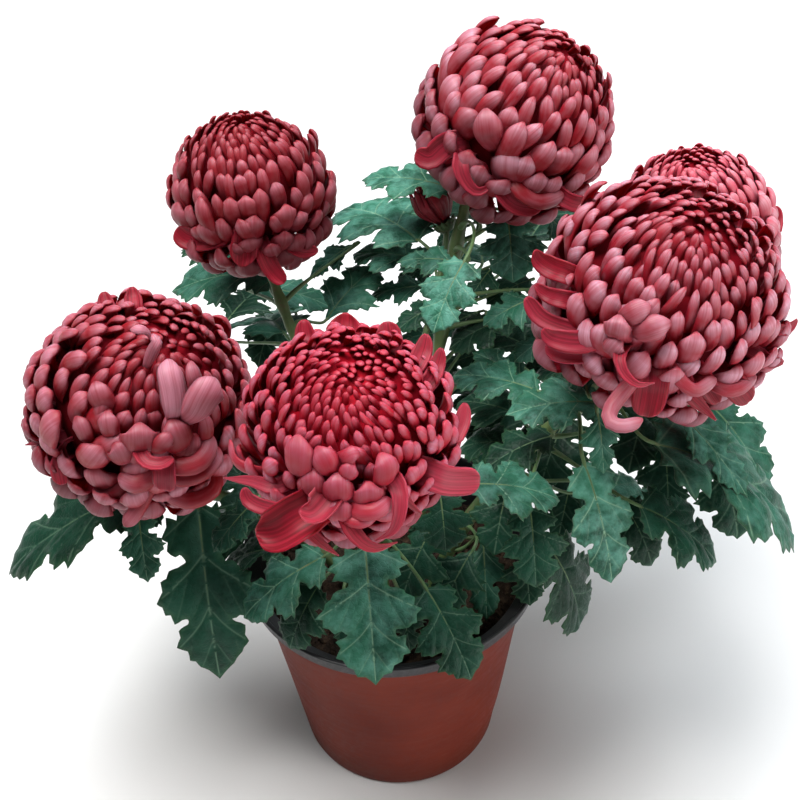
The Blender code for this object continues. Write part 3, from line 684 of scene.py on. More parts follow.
# ------------------------------------------------------------------- meshes
class Bag:
    """Vertices, faces, slots and loop data gathered for one object."""

    def __init__(self):
        self.v, self.f, self.s = [], [], []
        self.uv, self.bake, self.tone = [], [], []
        self.n = 0

    def add(self, v, faces, slot, uv=None, bake=None, tone=None):
        """v (n, 3); faces (m, k) with k the same for all; slot (m,) or one number."""
        v = np.asarray(v, float).reshape(-1, 3)
        faces = np.asarray(faces, int)
        self.v.append(v)
        self.f.append(faces + self.n)
        self.s.append(np.broadcast_to(np.asarray(slot, int), (len(faces),)))
        k = faces.shape[1]
        self.uv.append(np.zeros((len(faces) * k, 2)) if uv is None else np.asarray(uv, float).reshape(-1, 2))
        self.bake.append(np.zeros((len(faces) * k, 2)) if bake is None else np.asarray(bake, float).reshape(-1, 2))
        self.tone.append(np.zeros((len(v), 3)) if tone is None else np.broadcast_to(np.asarray(tone, float), (len(v), 3)))
        self.n += len(v)

    def build(self, name, mats, uv="Petal", bake=False, tone="Tone", sharp=None):
        v = np.concatenate(self.v)
        me = bpy.data.meshes.new(name)
        me.vertices.add(len(v))
        me.vertices.foreach_set("co", v.ravel())
        nl = sum(f.size for f in self.f)
        me.loops.add(nl)
        me.loops.foreach_set("vertex_index", np.concatenate([f.ravel() for f in self.f]).astype(np.int32))
        totals = np.concatenate([np.full(len(f), f.shape[1]) for f in self.f])
        me.polygons.add(len(totals))
        me.polygons.foreach_set("loop_start", (np.cumsum(totals) - totals).astype(np.int32))
        me.polygons.foreach_set("material_index", np.concatenate(self.s).astype(np.int32))
        for m in mats:
            me.materials.append(m)
        if uv:
            me.uv_layers.new(name=uv).uv.foreach_set("vector", np.concatenate(self.uv).astype(np.float32).ravel())
        if bake:
            me.uv_layers.new(name="OFBake").uv.foreach_set("vector", np.concatenate(self.bake).astype(np.float32).ravel())
        if tone:
            t = np.concatenate(self.tone)
            at = me.color_attributes.new(tone, "FLOAT_COLOR", "POINT")
            at.data.foreach_set("color", np.concatenate([t, np.ones((len(t), 1))], 1).astype(np.float32).ravel())
        me.update(calc_edges=True)
        me.validate()
        me.shade_smooth()
        if sharp:
            me.set_sharp_from_angle(angle=math.radians(sharp))
        ob = bpy.data.objects.new(name, me)
        bpy.context.scene.collection.objects.link(ob)
        return ob


def settle(ob, slot, *nodes):
    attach(ob, "root")
    if nodes:
        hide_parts(*nodes)
    return ob


def petals(bag, cells, first, C, N, W, A, T, U, tone, nv, slots=(0, 1), crease=0.0):
    """Closed curved scales. C (n, m, 3) are the middle lines of their outer faces,
    N the outward directions, W the half widths, A the angles of the cupped
    section, T the thickness, U (m,) the place along each, tone (n, 3)."""
    n, m, _ = C.shape
    W, A = np.broadcast_to(W, (n, m)), np.broadcast_to(A, (n, m))
    tan = unit(np.gradient(C, axis=1))
    N = unit(N - tan * (N * tan).sum(-1, keepdims=True))
    S = np.cross(tan, N)
    A = np.where(np.abs(A) < 0.03, 0.03, A)
    v = np.linspace(-1, 1, nv + 1)
    v = np.sign(v) * np.abs(v) ** 0.92
    av = A[..., None] * v
    sa = np.sin(A)[..., None]
    x = W[..., None] * np.sin(av) / sa
    y = -W[..., None] * (1 - np.cos(av)) / sa - crease * W[..., None] * np.exp(-(v / 0.22) ** 2)
    O = C[:, :, None, :] + S[:, :, None, :] * x[..., None] + N[:, :, None, :] * y[..., None]
    cn = N[:, :, None, :] * np.cos(av)[..., None] + S[:, :, None, :] * np.sin(av)[..., None]
    T = np.broadcast_to(np.asarray(T, float), (n,))
    I = O[:, 1:-1, 1:-1] - cn[:, 1:-1, 1:-1] * T[:, None, None, None]
    no, ni = m * (nv + 1), (m - 2) * (nv - 1)
    per = no + ni
    V = np.concatenate([O.reshape(n, no, 3), I.reshape(n, ni, 3)], 1)
    oi = np.arange(no).reshape(m, nv + 1)
    ii = oi.copy()
    ii[1:-1, 1:-1] = no + np.arange(ni).reshape(m - 2, nv - 1)
    qo = np.stack([oi[:-1, :-1], oi[:-1, 1:], oi[1:, 1:], oi[1:, :-1]], -1).reshape(-1, 4)
    qi = np.stack([ii[:-1, :-1], ii[1:, :-1], ii[1:, 1:], ii[:-1, 1:]], -1).reshape(-1, 4)
    q = np.concatenate([qo, qi])
    F = (q[None] + (np.arange(n) * per)[:, None, None]).reshape(-1, 4)
    sl = np.tile(np.concatenate([np.full(len(qo), slots[0]), np.full(len(qi), slots[1])]), n)
    # loop coordinates
    jj, uu = np.meshgrid(np.linspace(0, 1, nv + 1), U)
    go = np.stack([jj, uu], -1)
    co = np.stack([go[:-1, :-1], go[:-1, 1:], go[1:, 1:], go[1:, :-1]], 2).reshape(-1, 4, 2)
    ci = np.stack([go[:-1, :-1], go[1:, :-1], go[1:, 1:], go[:-1, 1:]], 2).reshape(-1, 4, 2)
    uv = np.concatenate([co, ci])
    bo = co * [0.455, 0.94] + [0.02, 0.03]
    bi = ci * [0.455, 0.94] + [0.525, 0.03]
    bk = np.concatenate([bo, bi])
    idx = first + np.arange(n)
    org = np.stack([idx % cells, idx // cells], -1) / cells
    bake = org[:, None, None, :] + bk[None] / cells
    tone = np.repeat(np.asarray(tone, float)[:, None, :], per, 1)
    run = 0.5 + 0.5 * v * W[..., None] / W.max(1)[:, None, None]
    tone[..., 2] = np.concatenate([run.reshape(n, no), run[:, 1:-1, 1:-1].reshape(n, ni)], 1)
    bag.add(V.reshape(-1, 3), F, sl, np.tile(uv[None], (n, 1, 1, 1)), bake, tone.reshape(-1, 3))
    return n


def ellipsoid(bag, c, n, x, y, a, b, lo, hi, seg, rows, slot, tone):
    """A closed body of revolution inside the florets."""
    th = np.linspace(0.0, math.pi, rows + 1)[1:-1]
    ph = np.linspace(0, 2 * math.pi, seg, endpoint=False)
    T, P = np.meshgrid(th, ph, indexing="ij")
    r = lo + (hi - lo) * np.cos(T / 2) ** 4
    v = c + (b * r * np.cos(T))[..., None] * n + (a * r * np.sin(T))[..., None] * (x * np.cos(P)[..., None] + y * np.sin(P)[..., None])
    V = np.concatenate([[c + n * b * hi], v.reshape(-1, 3), [c - n * b * lo]])
    k = len(th)
    g = 1 + np.arange(k * seg).reshape(k, seg)
    gn = np.roll(g, -1, 1)
    quads = np.stack([g[:-1], g[1:], gn[1:], gn[:-1]], -1).reshape(-1, 4)
    top = np.stack([np.zeros(seg, int), g[0], gn[0]], -1)
    bot = np.stack([np.full(seg, len(V) - 1), gn[-1], g[-1]], -1)
    return V, quads, np.concatenate([top, bot])


def catmull(p, per):
    """A smooth open curve through p, per points to each step."""
    p = np.asarray(p, float)
    q = np.concatenate([[2 * p[0] - p[1]], p, [2 * p[-1] - p[-2]]])
    out = []
    for i in range(len(p) - 1):
        a, b, c, d = q[i:i + 4]
        for t in np.arange(per) / per:
            out.append(0.5 * ((2 * b) + (c - a) * t + (2 * a - 5 * b + 4 * c - d) * t * t + (3 * b - a - 3 * c + d) * t ** 3))
    out.append(p[-1])
    return np.array(out)


# -------------------------------------------------------------------- blooms
def surface(fr, th, ph, r):
    c, n, x, y, a, b = fr
    return c + (b * r * np.cos(th))[..., None] * n + (a * r * np.sin(th))[..., None] * (
        x * np.cos(ph)[..., None] + y * np.sin(ph)[..., None])


LAT = [0.0, 0.35, 0.80, 1.10, 1.57, 2.13]
ALONG = [0.075, 0.122, 0.215, 0.290, 0.335, 0.345]
ACROSS = [0.046, 0.058, 0.102, 0.160, 0.212, 0.226]


def across(t, grain):
    """Spacing round the ball; a coarser bloom has wider florets near its crown."""
    return np.interp(t, LAT, ACROSS) * (1 + (grain - 1) * (1 - smooth(t, 0.8, 1.7)))


def along(t, grain):
    return np.interp(t, LAT, ALONG) * (1 + 0.7 * (grain - 1) * (1 - smooth(t, 0.8, 1.5)))


GRAIN = {"a": 1.42, "b": 1.04, "c": 1.20, "d": 1.20, "e": 1.52, "f": 1.32}


def spread(g, grain):
    """Where the tips of the florets sit on the ball: loose rows, closer together
    toward the crown, evened out by pushing near neighbours apart."""
    th, ph, t, row = [], [], 0.03, 0
    while t < 2.10:
        n = max(3, int(round(2 * math.pi * math.sin(t) / across(t, grain))))
        o = g.uniform(0, 6.28)
        th += [t] * n
        ph += list((np.arange(n)) * 2 * math.pi / n + o)
        t += float(along(t, grain))
    th, ph = np.array(th), np.array(ph)
    sm, sl = along(th, grain), across(th, grain)
    th = np.abs(th + g.normal(0, 0.30, len(th)) * sm)
    ph = ph + g.normal(0, 0.22, len(th)) * sl / np.maximum(np.sin(th), 0.08)
    for _ in range(14):
        th = np.clip(th, 0.02, 2.12)
        sm, sl = along(th, grain), across(th, grain)
        d1 = (th[:, None] - th[None]) / (0.5 * (sm[:, None] + sm[None]))
        dp = (ph[:, None] - ph[None] + math.pi) % (2 * math.pi) - math.pi
        d2 = dp * 0.5 * (np.sin(th)[:, None] + np.sin(th)[None]) / (0.5 * (sl[:, None] + sl[None]))
        d = np.sqrt(d1 * d1 + d2 * d2) + np.eye(len(th)) * 9
        push = np.clip(1.02 - d, 0, 1) * 0.22
        th = th + (push * d1 / d).sum(1) * sm
        ph = ph + (push * d2 / d).sum(1) * sl / np.maximum(np.sin(th), 0.08)
    o = np.argsort(th)
    return np.clip(th[o], 0.02, 2.12), ph[o]


# Florets that stand out of the pattern, open, hooked or hanging, placed along
# sight lines. bloom: (face shown o outer or i inner, half width, profile, cup,
# paleness, [(u, v, toward the viewer as a share of the bloom's radius)])
STRAY = {
    "a": [
        ("o", 13.5, "spoon", 1.15, 0.85, [(177, 415, .93), (176, 392, 1.03), (172, 372, 1.05), (170, 355, .98)]),
        ("o", 17, "spoon", 1.10, 0.60, [(195, 420, .90), (207, 402, 1.03), (216, 386, 1.03), (222, 376, .95)]),
        ("o", 8, "spoon", 1.2, 0.45, [(198, 388, .92), (195, 372, 1.0), (192, 359, .98)]),
        ("o", 18, "spoon", 1.15, 0.30, [(140, 454, .86), (140, 438, 1.02), (139, 422, 1.03)]),
        ("o", 12, "spoon", 1.2, 0.0, [(103, 408, .93), (96, 392, 1.02), (92, 379, .98)]),
        ("o", 10, "spoon", 1.2, 0.0, [(110, 437, .9), (106, 422, 1.0), (105, 409, .98)]),
        ("o", 10, "spoon", 1.2, 0.05, [(86, 443, .76), (79, 430, .88), (73, 416, .88)]),
        ("o", 12, "spoon", 1.2, 0.05, [(124, 465, .8), (117, 452, .94), (110, 443, .94)]),
        ("o", 15, "spoon", 1.2, 0.0, [(184, 450, .78), (178, 433, .93), (172, 417, .94)]),
        ("o", 9, "spoon", 1.2, 0.0, [(156, 454, .86), (166, 443, .98), (176, 433, .93)]),
        ("o", 9, "strap", 1.1, 0.1, [(168, 464, .78), (195, 464, .76), (210, 450, .66), (212, 432, .58)]),
        ("o", 9, "strap", 1.1, 0.0, [(172, 476, .66), (198, 474, .66), (214, 462, .56), (220, 446, .50)]),
        ("i", 7, "strap", 0.8, 0.1, [(139, 448, .82), (146, 462, .92), (160, 465, .94), (173, 458, .86)]),
        ("i", 12, "hang", 0.8, 0.2, [(164, 455, .72), (165, 472, .84), (166, 489, .74)]),
        ("o", 10, "strap", 1.3, 0.0, [(152, 474, .70), (135, 483, .78), (116, 474, .72)]),
        ("o", 8, "strap", 1.6, 0.05, [(147, 484, .55), (142, 502, .50), (132, 518, .46), (123, 528, .42)]),
        ("i", 10, "hang", 0.8, 0.15, [(68, 440, .50), (62, 452, .44), (60, 466, .42), (63, 484, .36)]),
        ("i", 8, "strap", 0.7, 0.2, [(70, 430, .30), (50, 430, .24), (34, 425, .16), (22, 423, .08)]),
        ("i", 7, "point", 0.7, 0.2, [(66, 436, .34), (44, 441, .24), (25, 445, .12)]),
        ("o", 11, "spoon", 1.2, 0.0, [(46, 420, .42), (31, 406, .38), (24, 387, .34)]),
        ("o", 9, "strap", 1.2, 0.0, [(126, 478, .52), (108, 492, .52), (91, 484, .44)]),
        ("o", 8, "strap", 1.2, 0.0, [(216, 487, .32), (190, 501, .38), (163, 492, .42)]),
        ("o", 6, "spoon", 1.2, 0.75, [(150, 331, .80), (140, 327, .90), (129, 328, .90)]),
        ("o", 6, "spoon", 1.2, 0.65, [(152, 350, .96), (157, 341, 1.0), (153, 332, .98)]),
        ("i", 9, "spoon", 0.9, 0.0, [(110, 318, .30), (106, 304, .28), (104, 292, .26)]),
        ("i", 9, "spoon", 0.9, 0.0, [(134, 312, .30), (133, 298, .26), (132, 287, .24)]),
    ],
    "b": [
        ("i", 9, "point", 0.5, 0.25, [(280, 486, .52), (252, 481, .42), (223, 478, .30)]),
        ("i", 8, "strap", 0.9, 0.15, [(296, 508, .60), (268, 508, .52), (250, 500, .46), (245, 487, .46)]),
        ("i", 21, "spoon", 1.45, 0.0, [(316, 504, .60), (296, 518, .67), (275, 530, .62), (257, 531, .56)]),
        ("i", 14, "strap", 1.35, 0.15, [(332, 488, .70), (323, 503, .80), (311, 514, .86), (298, 512, .88)]),
        ("i", 9, "point", 0.8, 0.1, [(306, 518, .52), (316, 538, .52), (339, 556, .42)]),
        ("i", 10, "point", 0.9, 0.1, [(345, 505, .66), (352, 530, .70), (372, 547, .64), (397, 542, .50)]),
        ("i", 10, "point", 1.0, 0.25, [(396, 484, .74), (400, 508, .80), (393, 530, .74), (375, 541, .68)]),
        ("o", 9, "strap", 1.2, 0.2, [(352, 508, .80), (373, 511, .88), (392, 497, .80)]),
        ("o", 6, "strap", 1.2, 0.1, [(345, 517, .76), (360, 522, .80), (376, 515, .74)]),
        ("o", 16, "ball", 1.25, 0.15, [(370, 506, .78), (370, 494, .92), (369, 482, .94)]),
        ("o", 15, "ball", 1.25, 0.25, [(338, 503, .82), (337, 487, .96), (337, 471, .96)]),
        ("o", 15, "ball", 1.25, 0.25, [(338, 523, .76), (338, 509, .86), (337, 497, .86)]),
        ("o", 13, "ball", 1.25, 0.15, [(312, 496, .76), (310, 482, .90), (309, 467, .90)]),
        ("o", 15, "ball", 1.25, 0.30, [(296, 476, .82), (294, 456, .98), (295, 434, 1.0)]),
        ("o", 13, "ball", 1.2, 0.10, [(330, 474, .92), (322, 460, 1.0), (314, 446, .98)]),
        ("o", 12, "spoon", 1.2, 0.10, [(384, 486, .84), (388, 468, 1.0), (380, 451, .98)]),
        ("o", 9, "spoon", 1.2, 0.05, [(346, 480, .92), (350, 470, 1.0), (354, 461, .99)]),
        ("o", 8, "strap", 1.2, 0.15, [(342, 460, .96), (352, 454, 1.02), (362, 453, .98)]),
        ("i", 15, "strap", 0.45, 0.25, [(428, 474, .40), (450, 481, .34), (478, 480, .20)]),
        ("i", 9, "spoon", 0.7, 0.2, [(446, 442, .16), (460, 426, .08), (465, 403, .04)]),
        ("i", 8, "point", 0.8, 0.0, [(398, 490, .55), (410, 504, .50), (422, 514, .42)]),
        ("o", 8, "spoon", 1.2, 0.1, [(252, 472, .34), (232, 462, .28), (226, 440, .24)]),
        ("i", 12, "spoon", 0.9, 0.05, [(312, 356, .16), (306, 338, .10), (304, 320, .08)]),
        ("i", 18, "spoon", 0.9, 0.0, [(346, 354, .12), (345, 334, .06), (346, 313, .04)]),
        ("i", 15, "spoon", 0.8, 0.1, [(384, 358, .14), (388, 340, .08), (386, 322, .06)]),
        ("i", 10, "spoon", 0.9, 0.1, [(412, 370, .20), (422, 352, .14), (426, 334, .12)]),
        ("i", 9, "spoon", 0.9, 0.1, [(424, 388, .24), (436, 368, .16), (441, 348, .14)]),
    ],
    "c": [
        ("i", 11, "spoon", 1.1, 0.0, [(574, 276, .50), (555, 269, .44), (541, 260, .42), (535, 249, .46)]),
        ("i", 9, "strap", 0.9, 0.15, [(602, 336, .54), (572, 330, .44), (542, 318, .38), (526, 297, .38)]),
        ("i", 9, "spoon", 0.9, 0.05, [(568, 300, .48), (549, 295, .42), (536, 284, .40)]),
        ("i", 12, "spoon", 0.7, 0.15, [(608, 334, .58), (580, 342, .52), (554, 338, .44), (543, 328, .44)]),
        ("i", 7, "strap", 0.8, 0.2, [(606, 350, .50), (580, 357, .42), (556, 354, .36), (547, 343, .36)]),
        ("i", 8, "point", 1.0, 0.15, [(621, 352, .80), (622, 370, .86), (636, 384, .86), (655, 383, .80)]),
        ("i", 18, "spoon", 0.7, 0.0, [(652, 370, .62), (650, 390, .58), (645, 414, .46)]),
        ("o", 7.5, "strap", 1.7, 0.4, [(638, 372, .60), (624, 390, .64), (612, 406, .66), (611, 418, .70), (624, 422, .74), (643, 417, .74)]),
        ("i", 12, "point", 0.7, 0.0, [(678, 372, .56), (690, 394, .54), (716, 420, .42)]),
        ("i", 11, "spoon", 0.8, 0.0, [(698, 374, .52), (708, 388, .50), (717, 402, .42)]),
        ("i", 13, "spoon", 0.8, 0.0, [(724, 376, .42), (738, 389, .38), (748, 401, .28)]),
        ("i", 8, "spoon", 0.7, 0.2, [(750, 350, .34), (765, 360, .26), (783, 362, .18)]),
        ("i", 6, "spoon", 0.7, 0.1, [(776, 330, .24), (789, 327, .14), (796, 319, .10)]),
        ("o", 7, "strap", 1.2, 0.1, [(680, 378, .72), (698, 391, .70), (719, 379, .62)]),
        ("o", 7, "strap", 1.2, 0.1, [(722, 388, .54), (742, 387, .50), (758, 374, .40)]),
        ("o", 12, "spoon", 1.2, 0.25, [(636, 334, .90), (654, 329, 1.02), (674, 322, .99)]),
        ("o", 14, "ball", 1.2, 0.20, [(614, 340, .86), (615, 326, .98), (618, 312, .97)]),
        ("o", 12, "ball", 1.2, 0.15, [(608, 356, .74), (614, 347, .88), (622, 338, .90)]),
        ("o", 11, "spoon", 1.2, 0.30, [(624, 318, .94), (640, 310, 1.02), (654, 306, 1.0)]),
        ("i", 9, "spoon", 0.9, 0.0, [(644, 212, .22), (642, 199, .16), (644, 186, .16)]),
        ("i", 9, "spoon", 0.9, 0.0, [(676, 214, .26), (677, 199, .20), (679, 185, .18)]),
        ("i", 13, "spoon", 0.8, 0.0, [(698, 214, .22), (697, 198, .16), (698, 182, .14)]),
        ("i", 12, "spoon", 0.8, 0.0, [(732, 236, .26), (739, 220, .20), (744, 202, .18)]),
        ("i", 8, "spoon", 0.8, 0.0, [(752, 254, .12), (760, 242, .06), (765, 228, .06)]),
    ],
    "d": [
        ("o", 9, "spoon", 1.2, 0.2, [(632, 200, .50), (628, 190, .50), (630, 180, .48)]),
        ("i", 9, "spoon", 0.8, 0.1, [(768, 232, .0), (774, 220, -.04), (776, 206, -.04)]),
        ("i", 8, "point", 0.7, 0.1, [(618, 208, .30), (609, 200, .26), (606, 190, .22)]),
    ],
    "e": [
        ("i", 12, "strap", 0.8, 0.1, [(462, 140, .50), (445, 146, .42), (430, 158, .36), (416, 152, .34)]),
        ("i", 9, "point", 1.0, 0.15, [(462, 158, .56), (464, 178, .56), (478, 192, .54), (498, 180, .52)]),
        ("o", 14, "ball", 1.25, 0.30, [(488, 141, .88), (485, 124, .98), (484, 106, .98)]),
        ("i", 10, "spoon", 0.8, 0.1, [(500, 186, .50), (516, 204, .44), (540, 208, .34)]),
        ("o", 8, "strap", 1.2, 0.0, [(520, 190, .62), (542, 202, .56), (566, 194, .46)]),
        ("i", 9, "strap", 0.8, 0.1, [(560, 196, .40), (582, 204, .32), (602, 196, .24)]),
    ],
    "f": [
        ("i", 8, "spoon", 0.8, 0.0, [(218, 222, .46), (206, 219, .40), (194, 214, .34)]),
        ("i", 11, "strap", 0.8, 0.0, [(226, 232, .46), (206, 240, .38), (188, 238, .30), (178, 228, .28)]),
        ("i", 13, "spoon", 0.9, 0.0, [(246, 228, .56), (244, 246, .52), (242, 266, .42)]),
        ("i", 9, "strap", 0.9, 0.0, [(262, 246, .44), (268, 262, .40), (276, 274, .34), (285, 282, .30)]),
        ("i", 8, "spoon", 0.8, 0.0, [(292, 244, .34), (304, 250, .26), (318, 250, .20)]),
    ],
}


def stray_path(fr, pts, nu, face):
    c, n, x, y, a, b = fr
    d0 = float((EYE - c) @ VIEW[:, 2])
    P = np.array([at_depth(u, v, d0 - q * a) for u, v, q in pts])
    if face == "o":
        # the foot runs on down under its neighbours
        root = P[0] + unit(P[0] - P[1]) * a * 0.24
        root = c + (root - c) * 0.74
    else:
        root = c + (P[0] - c) * 0.42 - n * b * 0.16
    P = np.concatenate([[root], P])
    fine = catmull(P, 12)
    ln = np.concatenate([[0], np.cumsum(np.linalg.norm(np.diff(fine, axis=0), axis=1))])
    U = 1 - (1 - np.linspace(0, 1, nu + 1)) ** 1.6
    return np.stack([np.interp(U * ln[-1], ln, fine[:, i]) for i in range(3)], 1), U, d0


def strays(key, fr, bag, cells, used, g):
    c, n, x, y, a, b = fr
    for face, half, kind, cup, pale, pts in STRAY.get(key, []):
        nu = 18 if len(pts) > 3 else 14
        C, U, d0 = stray_path(fr, pts, nu, face)
        T = unit(np.gradient(C, U, axis=0))
        hw = half / FOCAL * d0
        mid = int(np.searchsorted(U, 0.62))
        look = unit(EYE - C[mid]) * (1 if face == "o" else -1)
        N = np.zeros_like(C)
        N[mid] = unit(look - T[mid] * float(look @ T[mid]))
        for i in range(mid + 1, nu + 1):
            N[i] = unit(N[i - 1] - T[i] * float(N[i - 1] @ T[i]))
        for i in range(mid - 1, -1, -1):
            N[i] = unit(N[i + 1] - T[i] * float(N[i + 1] @ T[i]))
        if face == "o" and kind in ("spoon", "ball"):
            N = unit(C - (c - n * b * 0.1))
            N = unit(N - T * (N * T).sum(1)[:, None])
        if kind == "point":
            W = (0.35 + 0.65 * smooth(U, 0.0, 0.5)) * np.clip((1.0 - U) / 0.48, 0.05, 1) ** 0.75
            dip = 0 * U
        else:
            b0, peak, cut = {"spoon": (0.32, 0.66, 0.70), "strap": (0.50, 0.50, 0.84), "hang": (0.26, 0.86, 0.86),
                             "ball": (0.62, 0.60, 0.64)}[kind]
            cap = np.sqrt(np.clip(1 - (np.clip(U - cut, 0, 1) / (1.004 - cut)) ** (3.6 if face == "o" else 2.6), 0, 1))
            start = 0.55 if kind == "hang" else 0.05
            W = (b0 + (1 - b0) * smooth(U, start, peak)) * np.maximum(cap, 0.07)
            dip = (0.55 if face == "o" else 0.25) * (1 - cap)
        wavy = 1 + 0.05 * np.sin(U * g.uniform(8, 14) + g.uniform(0, 6))
        if face == "i":
            C = C + N * (hw * 0.07 * np.sin(U * g.uniform(13, 19)) * smooth(U, 0.3, 0.7))[:, None]
        C = C - N * (hw * dip)[:, None]
        A = 0.45 + (cup - 0.45) * smooth(U, 0.15, 0.75)
        pale = pale * (0.4 if face == "o" and pale < 0.5 else 0.9)
        tone = np.array([[1.0 + pale if pale else g.uniform(0, 1), 0.7, 0]])
        used += petals(bag, cells, used, C[None], N[None], (hw * W * wavy)[None], A[None], 0.0006, U, tone, 10,
                       crease=0.13 if kind == "ball" else 0.05)
    return used


def bloom(key, seed, wild=1.0):
    c, n, a, b = bloom_frame(key)
    x = unit(np.cross(n, (0.2, 1.0, 0.3)))
    y = np.cross(n, x)
    fr = (c, n, x, y, a, b)
    g = np.random.default_rng(seed)
    R = (a + b) / 2
    grain = GRAIN[key]
    tt, pp = spread(g, grain)
    S = surface(fr, tt + 0.10, pp, np.full(len(tt), 0.96))
    clear = np.ones(len(tt), bool)
    for face, half, kind, cup, pale, pts in STRAY.get(key, []):
        if face == "o":
            C, U, d0 = stray_path(fr, pts, 14, face)
            d = np.linalg.norm(S[:, None] - C[None, U > 0.45], axis=2).min(1)
            clear &= d > 0.66 * half / FOCAL * d0
    tt, pp = tt[clear], pp[clear]
    total = len(tt)
    sm, sl = along(tt, grain), across(tt, grain)
    bag = Bag()
    cells = int(math.ceil(math.sqrt(total + 40)))
    used = 0
    low = tt > 1.72
    for part in ("crown", "middle", "low"):
        if part == "crown":
            m = (tt < 0.55) & ~low
            nu, nv = 8, 5
        elif part == "middle":
            m = (tt >= 0.55) & ~low
            nu, nv = 11, 7
        else:
            m = low
            nu, nv = 13, 7
        t0, p0 = tt[m], pp[m]
        k = len(t0)
        U = 1 - (1 - np.linspace(0, 1, nu + 1)) ** 1.5
        u = U[None, :]
        wj = np.clip(1 + g.normal(0, 0.15, (k, 1)), 0.70, 1.42)
        lj = 1 + g.normal(0, 0.09, (k, 1))
        rj = g.normal(0, 0.024, (k, 1)) + 0.030 * g.exponential(0.5, (k, 1)) * (g.uniform(0, 1, (k, 1)) < 0.3)
        rnd = g.uniform(0, 1, (k, 1))
        lean = g.normal(0, 0.22, (k, 1))
        s1, t1, p1, a1 = sl[m][:, None], t0[:, None], p0[:, None], sm[m][:, None]
        w = s1 * (0.645 + 0.03 * smooth(t1, 0.3, 1.0)) * wj
        cut = 0.70
        cap = np.sqrt(np.clip(1 - (np.clip(u - cut, 0, 1) / (1.004 - cut)) ** 2, 0.0, 1))
        if part != "low":
            ln = (2.9 - 0.60 * smooth(t1, 0, 1.0)) * a1 * lj
            swirl = 0.50 * np.exp(-(t1 / 0.42) ** 2) + 0.03
            TH = t1 + (1 - u) * ln
            PH = p1 + swirl * (1 - u) ** 1.3 + lean * (1 - u) * ln / np.maximum(np.sin(t1 + 0.3), 0.3)
            RR = 1.0 + rj - 0.34 * (1 - u) ** 1.5 - 0.70 * w * (1 - cap)
            RR = RR - 0.040 * np.exp(-(TH / 0.16) ** 2)
            C = surface(fr, TH, PH, RR)
            N = unit(surface(fr, TH, PH, RR + 0.1) - C)
            W = R * w * (0.50 + 0.50 * smooth(u, 0.0, 0.55)) * np.maximum(cap, 0.06)
            A = 0.60 + 0.72 * smooth(u, 0.1, 0.7) + 0 * t1
        else:
            f = smooth(t1, 1.30, 2.13)
            radial = x * np.cos(p0)[:, None] + y * np.sin(p0)[:, None]
            Q0 = c - n * (b * (0.34 + 0.28 * f)) + radial * a * 0.15
            open_ = g.normal(0, 1, (k, 1)) * 0.5 * f * wild
            rt = 0.965 + rj + 0.03 * open_
            P3 = surface(fr, t0, p0, rt[:, 0])
            e = unit(surface(fr, t0 - 0.05, p0, rt[:, 0]) - P3)
            out = unit(surface(fr, t0, p0, rt[:, 0] + 0.1) - P3)
            inc = 0.62 - 0.25 * f - 0.40 * open_
            tipd = unit(e * np.cos(inc) - out * np.sin(inc) + 0.12 * g.normal(0, 1, (k, 3)))
            P2 = P3 - tipd * a * (0.40 - 0.02 * f)
            P1 = Q0 + unit(radial * 1.0 - n * (0.05 + 0.50 * f)) * a * (0.42 + 0.1 * f)
            uu = U[:, None, None]
            C = ((1 - uu) ** 3 * Q0 + 3 * uu * (1 - uu) ** 2 * P1 + 3 * uu ** 2 * (1 - uu) * P2 + uu ** 3 * P3).transpose(1, 0, 2)
            hub = (c - n * b * 0.10)[None] + n[None] * b * 0.2 * (1 - f)
            N = unit(C - hub[:, None, :])
            cut = 0.76
            cap = np.sqrt(np.clip(1 - (np.clip(u - cut, 0, 1) / (1.004 - cut)) ** 2, 0.0, 1))
            C = C - N * (R * w * 0.5 * (1 - cap))[..., None]
            W = R * w * (0.26 + 0.74 * smooth(u, 0.05, 0.74)) * np.maximum(cap, 0.06)
            A = (0.40 + 0.85 * smooth(u, 0.35, 0.85)) * (1 - 0.25 * np.abs(open_)) + 0 * u
        # each floret rolls a little about its own length
        tan = unit(np.gradient(C, axis=1))
        rolls = (g.normal(0, 0.16, (k, 1)) + 0 * u)[..., None]
        N = N * np.cos(rolls) + np.cross(tan, N) * np.sin(rolls)
        tone = np.concatenate([rnd, t1 / 2.13, 0 * rnd], 1)
        used += petals(bag, cells, used, C, N, W, A, 0.00055, U, tone, nv)
    used = strays(key, fr, bag, cells, used, g)
    V, Q, T = ellipsoid(bag, c, n, x, y, a, b, 0.66, 0.87, 32, 16, 2, None)
    org = np.array([(cells - 1) / cells, (cells - 1) / cells])
    lat = np.arccos(np.clip((V - c) @ n / np.maximum(np.linalg.norm(V - c, axis=1), 1e-9), -1, 1)) / 2.13
    hue = np.stack([0.5 + 0 * lat, lat, 0 * lat], 1)
    bag.add(V, Q, 2, None, org + 0.5 / cells + 0 * np.zeros((len(Q) * 4, 2)), hue)
    bag.add(V, T, 2, None, org + 0.5 / cells + 0 * np.zeros((len(T) * 3, 2)), hue)
    return bag, cells, used, fr


def build_bloom(key, seed, wild=1.0):
    bag, cells, used, fr = bloom(key, seed, wild)
    ob = bag.build("florets_" + key, [OUTER[key], INNER, CORE[key]], bake=False)
    return settle(ob, "rose_florets", "bloom_" + key)


